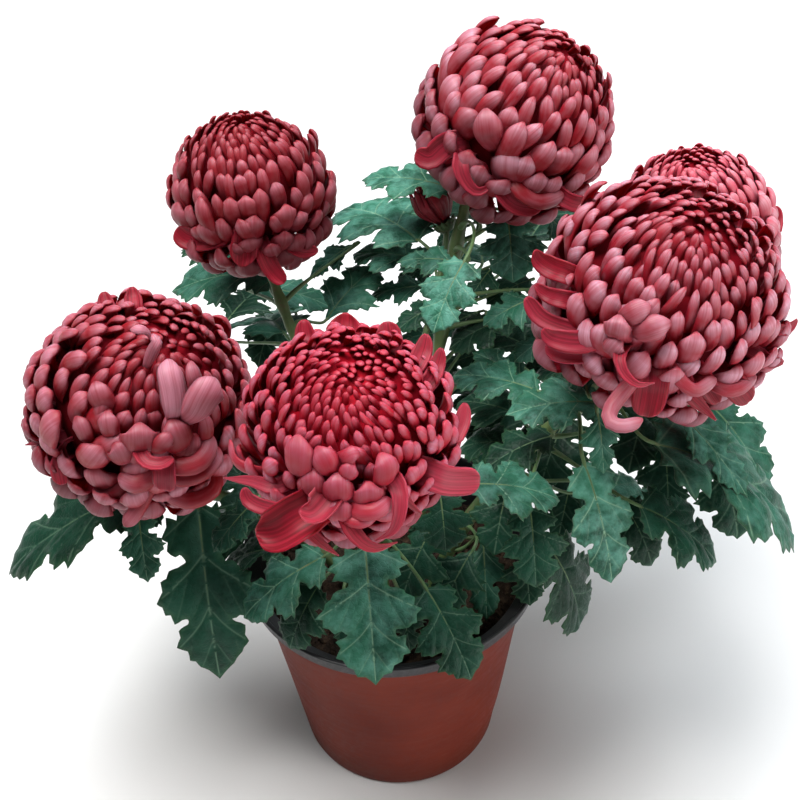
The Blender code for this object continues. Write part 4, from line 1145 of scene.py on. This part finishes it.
# -------------------------------------------------------------------- leaves
OUTLINE = {
    5: [(0.000, 0.014), (0.012, 0.050), (0.022, 0.100), (0.004, 0.150), (0.050, 0.158), (0.068, 0.198),
        (0.062, 0.250), (0.112, 0.244), (0.160, 0.300), (0.185, 0.240), (0.230, 0.262), (0.246, 0.200),
        (0.258, 0.170), (0.274, 0.142), (0.292, 0.142), (0.304, 0.166), (0.314, 0.206), (0.324, 0.260),
        (0.362, 0.276), (0.386, 0.336), (0.432, 0.334), (0.490, 0.400), (0.514, 0.346), (0.566, 0.352),
        (0.578, 0.300), (0.612, 0.272), (0.604, 0.222), (0.610, 0.184), (0.628, 0.174), (0.646, 0.202),
        (0.662, 0.256), (0.712, 0.244), (0.766, 0.274), (0.796, 0.220), (0.848, 0.208), (0.868, 0.152),
        (0.914, 0.132), (0.934, 0.074), (1.000, 0.000)],
    3: [(0.000, 0.014), (0.050, 0.036), (0.100, 0.060), (0.160, 0.094), (0.190, 0.158), (0.235, 0.160),
        (0.262, 0.246), (0.312, 0.250), (0.328, 0.350), (0.384, 0.328), (0.460, 0.410), (0.470, 0.332),
        (0.530, 0.338), (0.534, 0.256), (0.548, 0.190), (0.562, 0.150), (0.586, 0.150), (0.604, 0.186),
        (0.636, 0.246), (0.690, 0.224), (0.752, 0.264), (0.782, 0.198), (0.842, 0.204), (0.860, 0.138),
        (0.912, 0.128), (0.930, 0.064), (1.000, 0.000)],
}
VEINS = {
    5: [([(0.015, 0.0), (0.080, 0.130), (0.158, 0.285)], 0.8), ([(0.045, 0.062), (0.018, 0.140)], 0.4),
        ([(0.088, 0.146), (0.070, 0.236)], 0.4), ([(0.100, 0.170), (0.222, 0.246)], 0.4),
        ([(0.262, 0.0), (0.352, 0.130), (0.486, 0.380)], 0.9), ([(0.330, 0.094), (0.328, 0.228)], 0.4),
        ([(0.388, 0.200), (0.386, 0.306)], 0.4), ([(0.400, 0.220), (0.552, 0.334)], 0.4),
        ([(0.345, 0.120), (0.470, 0.180), (0.592, 0.248)], 0.45),
        ([(0.545, 0.0), (0.650, 0.100), (0.760, 0.256)], 0.8), ([(0.640, 0.088), (0.660, 0.228)], 0.4),
        ([(0.690, 0.150), (0.836, 0.192)], 0.4), ([(0.730, 0.0), (0.820, 0.060), (0.906, 0.118)], 0.6),
        ([(0.420, 0.0), (0.500, 0.060), (0.580, 0.120)], 0.4)],
    3: [([(0.060, 0.0), (0.150, 0.050), (0.250, 0.220)], 0.5), ([(0.170, 0.0), (0.300, 0.140), (0.456, 0.390)], 0.9),
        ([(0.240, 0.070), (0.322, 0.320)], 0.5), ([(0.345, 0.200), (0.524, 0.320)], 0.45),
        ([(0.360, 0.0), (0.450, 0.090), (0.530, 0.200)], 0.45),
        ([(0.510, 0.0), (0.640, 0.100), (0.748, 0.250)], 0.8), ([(0.630, 0.092), (0.636, 0.226)], 0.4),
        ([(0.680, 0.150), (0.832, 0.192)], 0.4), ([(0.720, 0.0), (0.820, 0.060), (0.906, 0.116)], 0.6)],
}


def inside(p, poly):
    x, y = p[:, 0][:, None], p[:, 1][:, None]
    a, b = poly, np.roll(poly, -1, 0)
    c = (a[:, 1] > y) != (b[:, 1] > y)
    d = (b[:, 0] - a[:, 0]) * (y - a[:, 1]) / np.where(np.abs(b[:, 1] - a[:, 1]) < 1e-12, 1e-12, b[:, 1] - a[:, 1]) + a[:, 0]
    return (c & (x < d)).sum(1) % 2 == 1


def to_segments(p, segs):
    """Distance of points to line pieces; p (n, 2), segs (m, 2, 2)."""
    a, d = segs[:, 0], segs[:, 1] - segs[:, 0]
    q = p[:, None, :] - a[None]
    t = np.clip((q * d).sum(-1) / np.maximum((d * d).sum(-1), 1e-12), 0, 1)
    return np.linalg.norm(q - d * t[..., None], axis=-1), t


def wave(p, g, n, lo, hi):
    """A sum of a few smooth waves over the blade."""
    out = np.zeros(len(p))
    for _ in range(n):
        k = g.uniform(lo, hi)
        t = g.uniform(0, math.pi)
        out += np.sin(k * (p[:, 0] * math.cos(t) + p[:, 1] * math.sin(t)) + g.uniform(0, 6.28))
    return out / math.sqrt(n)


def blade(lf, seed, coarse=1.0):
    """The flat drawing of one blade: points, triangles, vein weight, edge weight
    and height, all as fractions of its length."""
    g = np.random.default_rng(seed)
    sides, veins = [], []
    for sgn in (1, -1):
        half = np.array(OUTLINE[lf.kind])
        jit = g.normal(0, 0.008, half.shape)
        jit[0] = jit[-1] = 0
        sc = 1 + g.normal(0, 0.06)
        half = half + jit
        half[:, 1] *= lf.wide * sc
        half[0, 1] = 0.016
        c = catmull(half, 2)
        c[:, 1] = np.maximum(c[:, 1], 0.010 * (1 - c[:, 0]))
        c[:, 1] *= sgn
        sides.append(c)
        for line, wt in VEINS[lf.kind]:
            q = np.array(line, float)
            q[:, 1] *= lf.wide * sc * sgn
            veins.append((catmull(q, 4), wt))
    veins.append((np.array([(t, 0.0) for t in np.linspace(0, 0.99, 16)]), 1.0))
    ring = np.concatenate([sides[0], sides[1][::-1][1:]])
    segs = np.concatenate([np.stack([v[:-1], v[1:]], 1) for v, _ in veins])
    wts = np.concatenate([np.full(len(v) - 1, w) for v, w in veins])
    cand = []
    for v, w in veins:
        fine = np.concatenate([np.linspace(p, q, 3)[:-1] for p, q in zip(v[:-1], v[1:])] + [v[-1:]])
        d = unit(np.gradient(fine, axis=0))
        o = np.stack([-d[:, 1], d[:, 0]], 1)
        keep = fine[::2] if w < 0.5 else fine
        ok = o[::2] if w < 0.5 else o
        cand.append((keep, 0.0085 * coarse))
        for off in ((0.010,) if w < 0.5 else (0.009, 0.022)):
            cand.append((keep + ok * off, 0.0085 * coarse))
            cand.append((keep - ok * off, 0.0085 * coarse))
    step = 0.038 * coarse
    gx, gy = np.meshgrid(np.arange(-0.05, 1.0, step), np.arange(-0.66, 0.66, step * 0.866))
    gx = gx + (np.arange(gx.shape[0]) % 2)[:, None] * step / 2
    grid = np.stack([gx.ravel(), gy.ravel()], 1) + g.normal(0, 0.002, (gx.size, 2))
    cand.append((grid, 0.017 * coarse))
    edges = np.stack([ring, np.roll(ring, -1, 0)], 1)
    kept = [ring]
    for pts, room in cand:
        m = inside(pts, ring)
        pts = pts[m]
        if not len(pts):
            continue
        d = to_segments(pts, edges)[0].min(1)
        pts = pts[d > min(room, 0.009)]
        have = np.concatenate(kept)
        out = []
        for p in pts:
            if ((have - p) ** 2).sum(1).min() > room * room and (not out or ((np.array(out) - p) ** 2).sum(1).min() > room * room):
                out.append(p)
        if out:
            kept.append(np.array(out))
    pts = np.concatenate(kept)
    nr = len(ring)
    out = delaunay_2d_cdt([tuple(map(float, p)) for p in pts], [(i, (i + 1) % nr) for i in range(nr)], [], 1, 1e-7)
    P = np.array([tuple(v) for v in out[0]])
    F = np.array([tuple(f) for f in out[2] if len(f) == 3])
    d, _ = to_segments(P, segs)
    size = np.where(wts > 0.95, 0.0105 * (1.0 - 0.6 * P[:, :1]), 0.0055 + 0.002 * wts)
    vein = (wts * np.exp(-(d / size) ** 2)).max(1)
    near = (d / (0.55 + 0.45 * wts)).min(1)
    ed = to_segments(P, edges)[0].min(1)
    edge = np.exp(-ed / 0.012)
    body = smooth(ed, 0.0, 0.05)
    h = -0.0050 * (wts * np.exp(-(d / (size * 1.9)) ** 2)).max(1)
    h += 0.0140 * smooth(near, 0.004, 0.055) * (0.35 + 0.65 * body)
    h += 0.0130 * wave(P, g, 4, 7, 15) * (0.25 + 0.75 * smooth(np.abs(P[:, 1]), 0.02, 0.25))
    h += 0.0060 * wave(P, g, 5, 22, 42) * smooth(0.10 - ed, 0.0, 0.10)
    h -= 0.020 * smooth(0.05 - ed, 0.0, 0.05) * g.uniform(0.2, 0.8)
    return P, F, vein, edge, h


def tube(bag, pts, radii, segs, slot, tone, sideways=None, squash=1.0, ridges=0, depth=0.0):
    """A closed tube along pts, its frame carried along."""
    pts = np.asarray(pts, float)
    d = unit(np.gradient(pts, axis=0))
    side = unit(np.cross(d[0], (0.3, 1.0, 0.1))) if sideways is None else np.asarray(sideways, float)
    ph = np.linspace(0, 2 * math.pi, segs, endpoint=False)
    ringr = 1 + depth * np.cos(ridges * ph) if ridges else np.ones(segs)
    V = []
    for p, t, r in zip(pts, d, radii):
        side = unit(side - t * float(side @ t))
        other = np.cross(t, side)
        V.append(p + (r * ringr * np.cos(ph))[:, None] * side + (squash * r * ringr * np.sin(ph))[:, None] * other)
    m = len(pts)
    V = np.concatenate(V + [[pts[0]], [pts[-1]]])
    gidx = np.arange(m * segs).reshape(m, segs)
    gn = np.roll(gidx, -1, 1)
    Q = np.stack([gidx[:-1], gn[:-1], gn[1:], gidx[1:]], -1).reshape(-1, 4)
    lo = np.stack([np.full(segs, m * segs), gn[0], gidx[0]], -1)
    hi = np.stack([np.full(segs, m * segs + 1), gidx[-1], gn[-1]], -1)
    base = bag.n
    bag.add(V, Q, slot, None, None, tone)
    # the end fans share the tube's vertices
    bag.f.append(np.concatenate([lo, hi]) + base)
    bag.s.append(np.full(2 * segs, slot))
    bag.uv.append(np.zeros((2 * segs * 3, 2)))
    bag.bake.append(np.zeros((2 * segs * 3, 2)))


LEAF_T = 0.00036


def build_leaf(name, row, seed, node=None, shade=None):
    lf = Leaf(row)
    g = np.random.default_rng(seed + 7)
    P, F, vein, edge, h = blade(lf, seed, 1.0 if node else 1.35)
    L = lf.length
    h = h * L
    t = LEAF_T / 2
    top = lf.sheet(P[:, 0], P[:, 1] * L, h + t)
    bot = lf.sheet(P[:, 0], P[:, 1] * L, h - t)
    n = len(P)
    # the blade's darkness: random where no shade value is given, else the SHADE value, partly painted shade
    rnd = float(g.uniform(0.2, 0.6)) if shade is None else shade
    # faces turn so that the first sheet looks along the blade's normal
    a, b, c = top[F[:, 0]], top[F[:, 1]], top[F[:, 2]]
    flip = (np.cross(b - a, c - a) @ lf.nrm) < 0
    F = np.where(flip[:, None], F[:, ::-1], F)
    E = np.concatenate([F[:, [0, 1]], F[:, [1, 2]], F[:, [2, 0]]])
    key = E[:, 0].astype(np.int64) * n + E[:, 1]
    rev = E[:, 1].astype(np.int64) * n + E[:, 0]
    bd = E[~np.isin(key, rev)]
    bag = Bag()
    tone = np.stack([vein, np.full(n, rnd), edge], 1)
    rim = np.stack([bd[:, 1], bd[:, 0], bd[:, 0] + n, bd[:, 1] + n], -1)
    base = bag.n
    bag.add(np.concatenate([top, bot]), F, 0, None, None, np.concatenate([tone, tone]))
    bag.f.append(F[:, ::-1] + n)
    bag.s.append(np.full(len(F), 1))
    bag.uv.append(np.zeros((len(F) * 3, 2)))
    bag.bake.append(np.zeros((len(F) * 3, 2)))
    bag.f.append(rim)
    bag.s.append(np.full(len(rim), 1))
    bag.uv.append(np.zeros((len(rim) * 4, 2)))
    bag.bake.append(np.zeros((len(rim) * 4, 2)))
    # stalk and the raised midrib under the blade
    ts = np.linspace(0, 1, 12)
    st = bezier(lf.stalk, ts)
    st = np.concatenate([[st[0] - unit(st[1] - st[0]) * 0.0022], st])
    ms = np.linspace(0.03, 0.93, 14)
    mr = 0.00105 * (1 - 0.82 * ms) + 0.0001
    hm = np.interp(ms, *zip(*sorted((P[i, 0], h[i]) for i in np.where(np.abs(P[:, 1]) < 0.004)[0])))
    mid = lf.sheet(ms, 0 * ms, hm - t - mr * 0.25)
    rs = np.concatenate([[0.0019], 0.0019 - 0.0008 * smooth(ts, 0, 0.35), mr * 1.0])
    rs[1:13] *= 1.0 - 0.05 * ts
    bl = np.concatenate([st, mid])
    tube(bag, bl, rs, 8, 2, (0.0, rnd, 0.0), lf.side, 0.86)
    ob = bag.build(name, [TOP, UNDER, STALK], uv=None, tone="Leaf")
    return settle(ob, "blue_green_leaf", *([node] if node else []))


# --------------------------------------------------------------------- stems
def bracts(bag, cells, first, top, ax, cup, cup_h, g, slot):
    """Overlapping pointed bracts round the cup."""
    x = unit(np.cross(ax, (0.2, 1.0, 0.3)))
    y = np.cross(ax, x)
    used = 0
    for row, (count, h0, h1, r0, r1, wid) in enumerate([
            (9, 0.05, 0.72, 0.52, 0.98, 0.36), (11, 0.22, 0.95, 0.72, 1.10, 0.34), (13, 0.45, 1.28, 0.88, 1.16, 0.30)]):
        ph = (np.arange(count) + 0.5 * row) * 2 * math.pi / count + g.normal(0, 0.06, count)
        U = np.linspace(0, 1, 8)
        u = U[None, :]
        rad = cup * (r0 + (r1 - r0) * np.sin(u * math.pi / 2)) + 0.0004 + 0.0002 * (2 - row)
        hh = cup_h * (h0 + (h1 - h0) * u)
        dr = x * np.cos(ph)[:, None] + y * np.sin(ph)[:, None]
        C = top - ax * cup_h + dr[:, None, :] * rad[..., None] + ax * (hh[..., None] + 0 * rad[..., None])
        N = dr[:, None, :] - ax * 0.5 + 0 * C
        W = cup * wid * np.sin(np.clip(u * 0.86 + 0.14, 0, 1) * math.pi) ** 0.7 + 0 * rad
        W = np.maximum(W, cup * 0.02)
        A = 0.5 + 0 * W
        tone = np.stack([g.uniform(0, 1, count), np.zeros(count), np.zeros(count)], 1)
        used += petals(bag, cells, first + used, C, N, W, A, 0.0005, U, tone, 4, slots=(slot, slot))
    return used


def build_stem(key, seed):
    pts, ax = stem_curve(key)
    if key == "bud":
        r0, r1, cup, cup_h = 0.0022, 0.0017, 0.0062, 0.0060
    else:
        r0, r1, cup, cup_h = STEMS[key][1], STEMS[key][2], CUP_R, CUP_H
    g = np.random.default_rng(seed)
    total = float(np.linalg.norm(np.diff(bezier(pts, np.linspace(0, 1, 40)), axis=0), axis=1).sum())
    t_cup = 1 - cup_h / total
    ts = np.linspace(0, t_cup, 46)
    p = bezier(pts, ts)
    rad = r0 + (r1 - r0) * ts / t_cup
    # joints where leaves leave the stem
    for row in list(LEAVES.values()) + list(FILL.values()):
        if row[0] == key:
            rad = rad * (1 + 0.16 * np.exp(-((ts - row[1] * 1.0) / 0.018) ** 2))
    rad = rad * (1 + 0.02 * np.sin(ts * 40 + g.uniform(0, 6)))
    d0 = unit(pts[1] - pts[0])
    p = np.concatenate([[p[0] - d0 * ROOT], p])
    rad = np.concatenate([[rad[0]], rad])
    f = np.linspace(0, 1, 9)[1:]
    cp = pts[3] - ax * cup_h * (1 - f[:, None])
    prof = np.sin(f * math.pi / 2) ** 0.85
    p = np.concatenate([p, cp])
    rad = np.concatenate([rad, r1 + (cup - r1) * prof])
    bag = Bag()
    tube(bag, p, rad, 18, 0, (0.5, 0.0, 0.0), ridges=6, depth=0.05)
    bracts(bag, 8, 0, pts[3], ax, cup, cup_h, g, 1)
    ob = bag.build("stalk_" + key, [STEM, BRACT])
    return settle(ob, "green_stem", "stem_" + key)


# ----------------------------------------------------------------------- bud
def build_bud():
    base = at_depth(*BUD["base"][0], BUD["base"][1])
    top = at_depth(*BUD["top"][0], BUD["top"][1])
    ax = unit(top - base)
    ln = float(np.linalg.norm(top - base))
    x = unit(np.cross(ax, (0.2, 1.0, 0.3)))
    y = np.cross(ax, x)
    g = np.random.default_rng(41)
    bag = Bag()
    used = 0
    for count, r0, rm, rt, hl, wid in ((17, 0.30, 1.05, 0.86, 0.98, 0.20), (15, 0.24, 0.88, 0.62, 1.05, 0.19),
                                      (12, 0.18, 0.66, 0.40, 1.08, 0.18), (8, 0.10, 0.40, 0.18, 1.05, 0.16)):
        ph = np.arange(count) * 2 * math.pi / count + g.normal(0, 0.10, count) + g.uniform(0, 6)
        U = np.linspace(0, 1, 11)
        u = U[None, :]
        k = 1 + g.normal(0, 0.07, (count, 1))
        rad = BUD["r"] * (r0 + (rm - r0) * np.sin(np.clip(u * 1.5, 0, 1) * math.pi / 2) + (rt - rm) * smooth(u, 0.5, 1.0)) * (1 + 0.5 * (k - 1))
        hh = ln * hl * u * k
        dr = x * np.cos(ph)[:, None] + y * np.sin(ph)[:, None]
        C = base + dr[:, None, :] * rad[..., None] + ax * hh[..., None]
        N = dr[:, None, :] - ax * 0.2 + 0 * C
        W = BUD["r"] * wid * (0.5 + 0.5 * smooth(u, 0, 0.5)) * np.sqrt(np.clip(1 - (np.clip(u - 0.72, 0, 1) / 0.282) ** 2, 0.01, 1)) + 0 * rad
        A = 0.9 + 0 * W
        tone = np.stack([g.uniform(0, 1, count), np.full(count, 0.6), np.zeros(count)], 1)
        used += petals(bag, 9, used, C, N, W, A, 0.0004, U, tone, 5)
    ob = bag.build("bud_petals", [BUD_OUT, INNER])
    return settle(ob, "crimson_florets", "bud_florets")


# ----------------------------------------------------------------------- pot
def wall(z):
    return BASE_R + (BODY_R - BASE_R) * z / (POT_H - COLLAR_H)


def lathe(name, profile, segs, mat, smooth_angle=40, wobble=None):
    """Turn a closed profile that starts and ends on the axis."""
    profile = np.array(profile, float)
    ph = np.linspace(0, 2 * math.pi, segs, endpoint=False)
    bag = Bag()
    V, rings = [], []
    n = 0
    for r, z in profile:
        if r < 1e-9:
            rings.append(np.full(segs, n))
            V.append(np.array([[0, 0, z]]))
            n += 1
        else:
            rr = r + (wobble(ph, z, r) if wobble else 0)
            V.append(np.stack([rr * np.cos(ph), rr * np.sin(ph), np.full(segs, z)], 1))
            rings.append(n + np.arange(segs))
            n += segs
    V = np.concatenate(V)
    quads, tris = [], []
    for a, b in zip(rings, rings[1:]):
        an, bn = np.roll(a, -1), np.roll(b, -1)
        if a[0] == a[1]:
            tris.append(np.stack([a, bn, b], 1))
        elif b[0] == b[1]:
            tris.append(np.stack([a, an, b], 1))
        else:
            quads.append(np.stack([a, an, bn, b], 1))
    bag.add(V, np.concatenate(quads), 0)
    if tris:
        t = np.concatenate(tris)
        bag.f.append(t)
        bag.s.append(np.zeros(len(t), int))
        bag.uv.append(np.zeros((len(t) * 3, 2)))
        bag.bake.append(np.zeros((len(t) * 3, 2)))
    return bag.build(name, [mat], uv=None, tone=None, sharp=smooth_angle)


def drain(ob):
    bm = bmesh.new()
    for i in range(HOLES):
        a = 2 * math.pi * (i + 0.5) / HOLES
        r = bmesh.ops.create_cone(bm, cap_ends=True, segments=24, radius1=HOLE_R, radius2=HOLE_R, depth=0.02)
        bmesh.ops.translate(bm, verts=r["verts"], vec=(HOLE_RING * math.cos(a), HOLE_RING * math.sin(a), 0.0))
    me = bpy.data.meshes.new("drain_cutter")
    bm.to_mesh(me)
    bm.free()
    cut = bpy.data.objects.new("drain_cutter", me)
    bpy.context.scene.collection.objects.link(cut)
    mod = ob.modifiers.new("drain", "BOOLEAN")
    mod.operation = "DIFFERENCE"
    mod.solver = "EXACT"
    mod.object = cut
    dg = bpy.context.evaluated_depsgraph_get()
    new = bpy.data.meshes.new_from_object(ob.evaluated_get(dg))
    ob.modifiers.clear()
    ob.data = new
    bpy.data.objects.remove(cut, do_unlink=True)
    new.shade_smooth()
    new.set_sharp_from_angle(angle=math.radians(38))
    return ob


def arc(cx, cz, r, a0, a1, n):
    """Points of a small fillet in the profile, angles in degrees."""
    t = np.radians(np.linspace(a0, a1, n))
    return [(cx + r * math.cos(k), cz + r * math.sin(k)) for k in t]


def build_pot():
    top = POT_H - COLLAR_H - GAP

    def dents(ph, z, r):
        k = smooth(z, 0.006, 0.03) * (1 - smooth(z, 0.125, 0.144))
        w = 0.00035 * np.sin(3 * ph + 0.8 + 22 * z) + 0.00025 * np.sin(5 * ph - 1.2 - 35 * z) + 0.00018 * np.sin(2 * ph + 60 * z)
        w = w + 0.0009 * -np.exp(-(((ph - 4.45) / 0.16) ** 2 + ((z - 0.088) / 0.014) ** 2))
        w = w + 0.0007 * -np.exp(-(((ph - 5.25) / 0.12) ** 2 + ((z - 0.060) / 0.018) ** 2))
        return k * w

    zs = np.linspace(0.0035, top, 40)
    outer = [(0, 0.0012), (BASE_R * 0.55, 0.0012), (BASE_R * 0.60, 0.0002), (BASE_R * 0.62, 0.0), (BASE_R - 0.0035, 0)] + \
        [(BASE_R - 0.0019, 0.0002), (BASE_R - 0.0009, 0.0008), (BASE_R - 0.0001, 0.0018)] + [(wall(z), z) for z in zs]
    inner = [(wall(z) - SHELL_T, z) for z in zs[::-1]] + [(wall(0.004) - SHELL_T - 0.0022, 0.0026), (0, 0.0026)]
    inner = [(r, z) for r, z in inner]
    shell = lathe("pot_body", outer + inner, 192, CLAY, 38, dents)
    drain(shell)
    settle(shell, "terracotta_plastic", "pot_outer_shell")
    z0 = 0.0030
    out = SHELL_T + GAP
    inn = out + LINING_T
    step = POT_H - COLLAR_H
    pr = [(0, z0), (wall(0.0045) - out - 0.0028, z0), (wall(0.0055) - out - 0.0002, 0.0055),
          (wall(step * 0.5) - out, step * 0.5), (wall(step) - out, step - 0.0002), (wall(step) - out + 0.0002, step)]
    pr += [(0.0872, step), (0.0878, step + 0.0002), (0.0882, step + 0.0008), (0.0886, POT_H - 0.0030),
           (0.0888, POT_H - 0.0024), (0.0893, POT_H - 0.0021)]
    pr += arc(POT_R - 0.0009, POT_H - 0.0011, 0.0009, -60, 90, 6)
    pr += [(POT_R - 0.0016, POT_H - 0.0001), (POT_R - 0.0022, POT_H - 0.0004), (POT_R - 0.0026, POT_H - 0.0011), (0.0870, step + 0.0030)]
    pr += arc(0.0860, step + 0.0024, 0.0010, 0, -90, 5)
    pr += [(wall(step) - inn + 0.0010, step + 0.0014), (wall(step) - inn + 0.0003, step + 0.0011), (wall(step) - inn, step + 0.0004),
           (wall(step * 0.5) - inn, step * 0.5), (wall(0.0065) - inn, 0.0065), (wall(0.0065) - inn - 0.0025, z0 + LINING_T), (0, z0 + LINING_T)]

    def oval(ph, z, r):
        return 0.0004 * np.sin(2 * ph + 0.6) * smooth(z, 0.10, 0.15)

    lining = lathe("pot_rim", pr, 192, BLACK, 38, oval)
    drain(lining)
    settle(lining, "black_plastic", "pot_lining_and_rim")


def crumb(g):
    """A small lump, an icosphere of one subdivision at unit size, which build_soil scales and roughens."""
    bm = bmesh.new()
    bmesh.ops.create_icosphere(bm, subdivisions=1, radius=1.0)
    v = np.array([tuple(p.co) for p in bm.verts])
    f = np.array([[p.index for p in q.verts] for q in bm.faces])
    bm.free()
    return v, f


def build_soil():
    g = np.random.default_rng(5)
    edge = SHELL_T + GAP + LINING_T + 0.0004
    bottom = 0.0052
    seg = 160
    ph = np.linspace(0, 2 * math.pi, seg, endpoint=False)
    rings = [(wall(0.009) - edge - 0.003, bottom), (wall(0.009) - edge, 0.009), (wall(0.07) - edge, 0.07), (wall(SOIL_Z - 0.004) - edge, SOIL_Z - 0.004)]
    rr = np.linspace(wall(SOIL_Z) - edge, 0.0015, 46)
    V = [np.array([[0, 0, bottom]])]
    for r, z in rings:
        V.append(np.stack([r * np.cos(ph), r * np.sin(ph), np.full(seg, z)], 1))
    waves = [(g.uniform(120, 900), g.uniform(0, 6.28), g.uniform(0, 6.28)) for _ in range(40)]
    for i, r in enumerate(rr):
        x, y = r * np.cos(ph), r * np.sin(ph)
        z = soil_height(x, y)
        d = np.zeros(seg)
        for k, t, o in waves:
            d += np.sin(k * (x * math.cos(t) + y * math.sin(t)) + o) * (150 / k) ** 0.6
        z = z - 0.0012 + 0.0007 * d * (0.3 if i == 0 else 1)
        V.append(np.stack([x, y, z], 1))
    V.append(np.array([[0, 0, float(soil_height(0, 0))]]))
    V = np.concatenate(V)
    m = len(rings) + len(rr)
    idx = 1 + np.arange(m * seg).reshape(m, seg)
    nx = np.roll(idx, -1, 1)
    Q = np.stack([idx[:-1], nx[:-1], nx[1:], idx[1:]], -1).reshape(-1, 4)
    T = np.concatenate([np.stack([np.zeros(seg, int), nx[0], idx[0]], 1), np.stack([idx[-1], nx[-1], np.full(seg, len(V) - 1)], 1)])
    bag = Bag()
    bag.add(V, Q, 0)
    bag.f.append(T)
    bag.s.append(np.zeros(len(T), int))
    bag.uv.append(np.zeros((len(T) * 3, 2)))
    bag.bake.append(np.zeros((len(T) * 3, 2)))
    cv, cf = crumb(g)
    n = 900
    r = 0.0755 * np.sqrt(g.uniform(0, 1, n))
    a = g.uniform(0, 6.28, n)
    x, y = r * np.cos(a), r * np.sin(a)
    size = 0.0009 * (1 + g.exponential(0.8, n)).clip(0, 4)
    z = soil_height(x, y) - 0.0012 + size * 0.25
    for i in range(n):
        s3 = size[i] * g.uniform(0.7, 1.3, 3)
        v = cv * s3 * (1 + g.normal(0, 0.13, (len(cv), 1)))
        v = v @ turn(g.normal(0, 1, 3), g.uniform(0, 6.28)).T
        bag.add(v + [x[i], y[i], z[i]], cf, 0)
    ob = bag.build("soil", [SOIL], uv=None, tone=None)
    return settle(ob, "dark_soil", "potting_soil")


# ------------------------------------------------------------------- assembly
build_pot()
build_soil()
for i, key in enumerate(STEMS):
    build_stem(key, 100 + i)
    build_bloom(key, 200 + i)
build_stem("bud", 120)
build_bud()
for i, (key, row) in enumerate(LEAVES.items()):
    build_leaf("foliage_" + key, row, 300 + i, "leaf_" + key, SHADE.get(key))
# the leaves deep inside get dark blades, 0.78 to 1: painted shade
for i, (key, row) in enumerate(FILL.items()):
    build_leaf("foliage_inner_" + key, row, 500 + i, None, 0.78 + 0.22 * ((i * 7) % 5) / 4)

# ---------------------------------------------------------- floor and light
me = bpy.data.meshes.new("floor")
me.from_pydata([(-4, -4, 0), (4, -4, 0), (4, 4, 0), (-4, 4, 0)], [], [(0, 1, 2, 3)])
floor = bpy.data.objects.new("floor", me)
bpy.context.scene.collection.objects.link(floor)
k = Mat("pale_floor", 0.9, 0.1)
k.b.inputs["Base Color"].default_value = (0.80, 0.80, 0.80, 1)
me.materials.append(k.m)

world = bpy.data.worlds.new("studio")
bpy.context.scene.world = world
world.use_nodes = True
world.node_tree.nodes["Background"].inputs[0].default_value = (0.92, 0.96, 1.0, 1)
world.node_tree.nodes["Background"].inputs[1].default_value = 0.09
# seen directly, beyond the floor, the studio is as pale as the floor
wt = world.node_tree
far = wt.nodes.new("ShaderNodeBackground")
far.inputs[0].default_value = (0.96, 0.98, 1.0, 1)
far.inputs[1].default_value = 0.45
either = wt.nodes.new("ShaderNodeMixShader")
wt.links.new(wt.nodes.new("ShaderNodeLightPath").outputs["Is Camera Ray"], either.inputs[0])
wt.links.new(wt.nodes["Background"].outputs[0], either.inputs[1])
wt.links.new(far.outputs[0], either.inputs[2])
wt.links.new(either.outputs[0], wt.nodes["World Output"].inputs["Surface"])


def area(name, pos, target, size, power, colour=(1, 1, 1)):
    li = bpy.data.lights.new(name, "AREA")
    li.shape = "DISK"
    li.size = size
    li.energy = power
    li.color = colour
    ob = bpy.data.objects.new(name, li)
    bpy.context.scene.collection.objects.link(ob)
    z = unit(np.array(pos, float) - np.array(target, float))
    x = unit(np.cross((0, 1.0, 0.02), z)) if abs(z[2]) > 0.95 else unit(np.cross((0, 0, 1.0), z))
    y = np.cross(z, x)
    m = np.eye(4)
    m[:3, 0], m[:3, 1], m[:3, 2], m[:3, 3] = x, y, z, pos
    ob.matrix_world = Matrix(m.tolist())
    return ob


area("key", (-0.45, -0.15, 2.1), (0, 0, 0.25), 1.2, 32, (1.0, 0.99, 0.97))
sky = bpy.data.lights.new("sky", "SUN")
sky.energy = 1.5
sky.angle = math.radians(34)
sky.color = (1.0, 0.99, 0.97)
sun = bpy.data.objects.new("sky", sky)
bpy.context.scene.collection.objects.link(sun)
sun.rotation_euler = (math.radians(-4.0), math.radians(-13.0), 0.0)
area("top", (0.5, 0.6, 1.9), (0, 0, 0.25), 1.3, 30, (0.88, 0.95, 1.0))
area("fill", (1.9, -1.1, 0.6), (0, 0, 0.10), 1.4, 26, (1.0, 0.97, 0.94))

cam = bpy.data.cameras.new("camera")
cam.sensor_width = 36
cam.lens = 36 * FOCAL / 800
cam.clip_start = 0.01
co = bpy.data.objects.new("camera", cam)
bpy.context.scene.collection.objects.link(co)
m = np.eye(4)
m[:3, :3] = VIEW
m[:3, 3] = EYE
co.matrix_world = Matrix(m.tolist())
bpy.context.scene.camera = co
bpy.context.scene.view_settings.view_transform = "Standard"

bpy.context.view_layer.update()
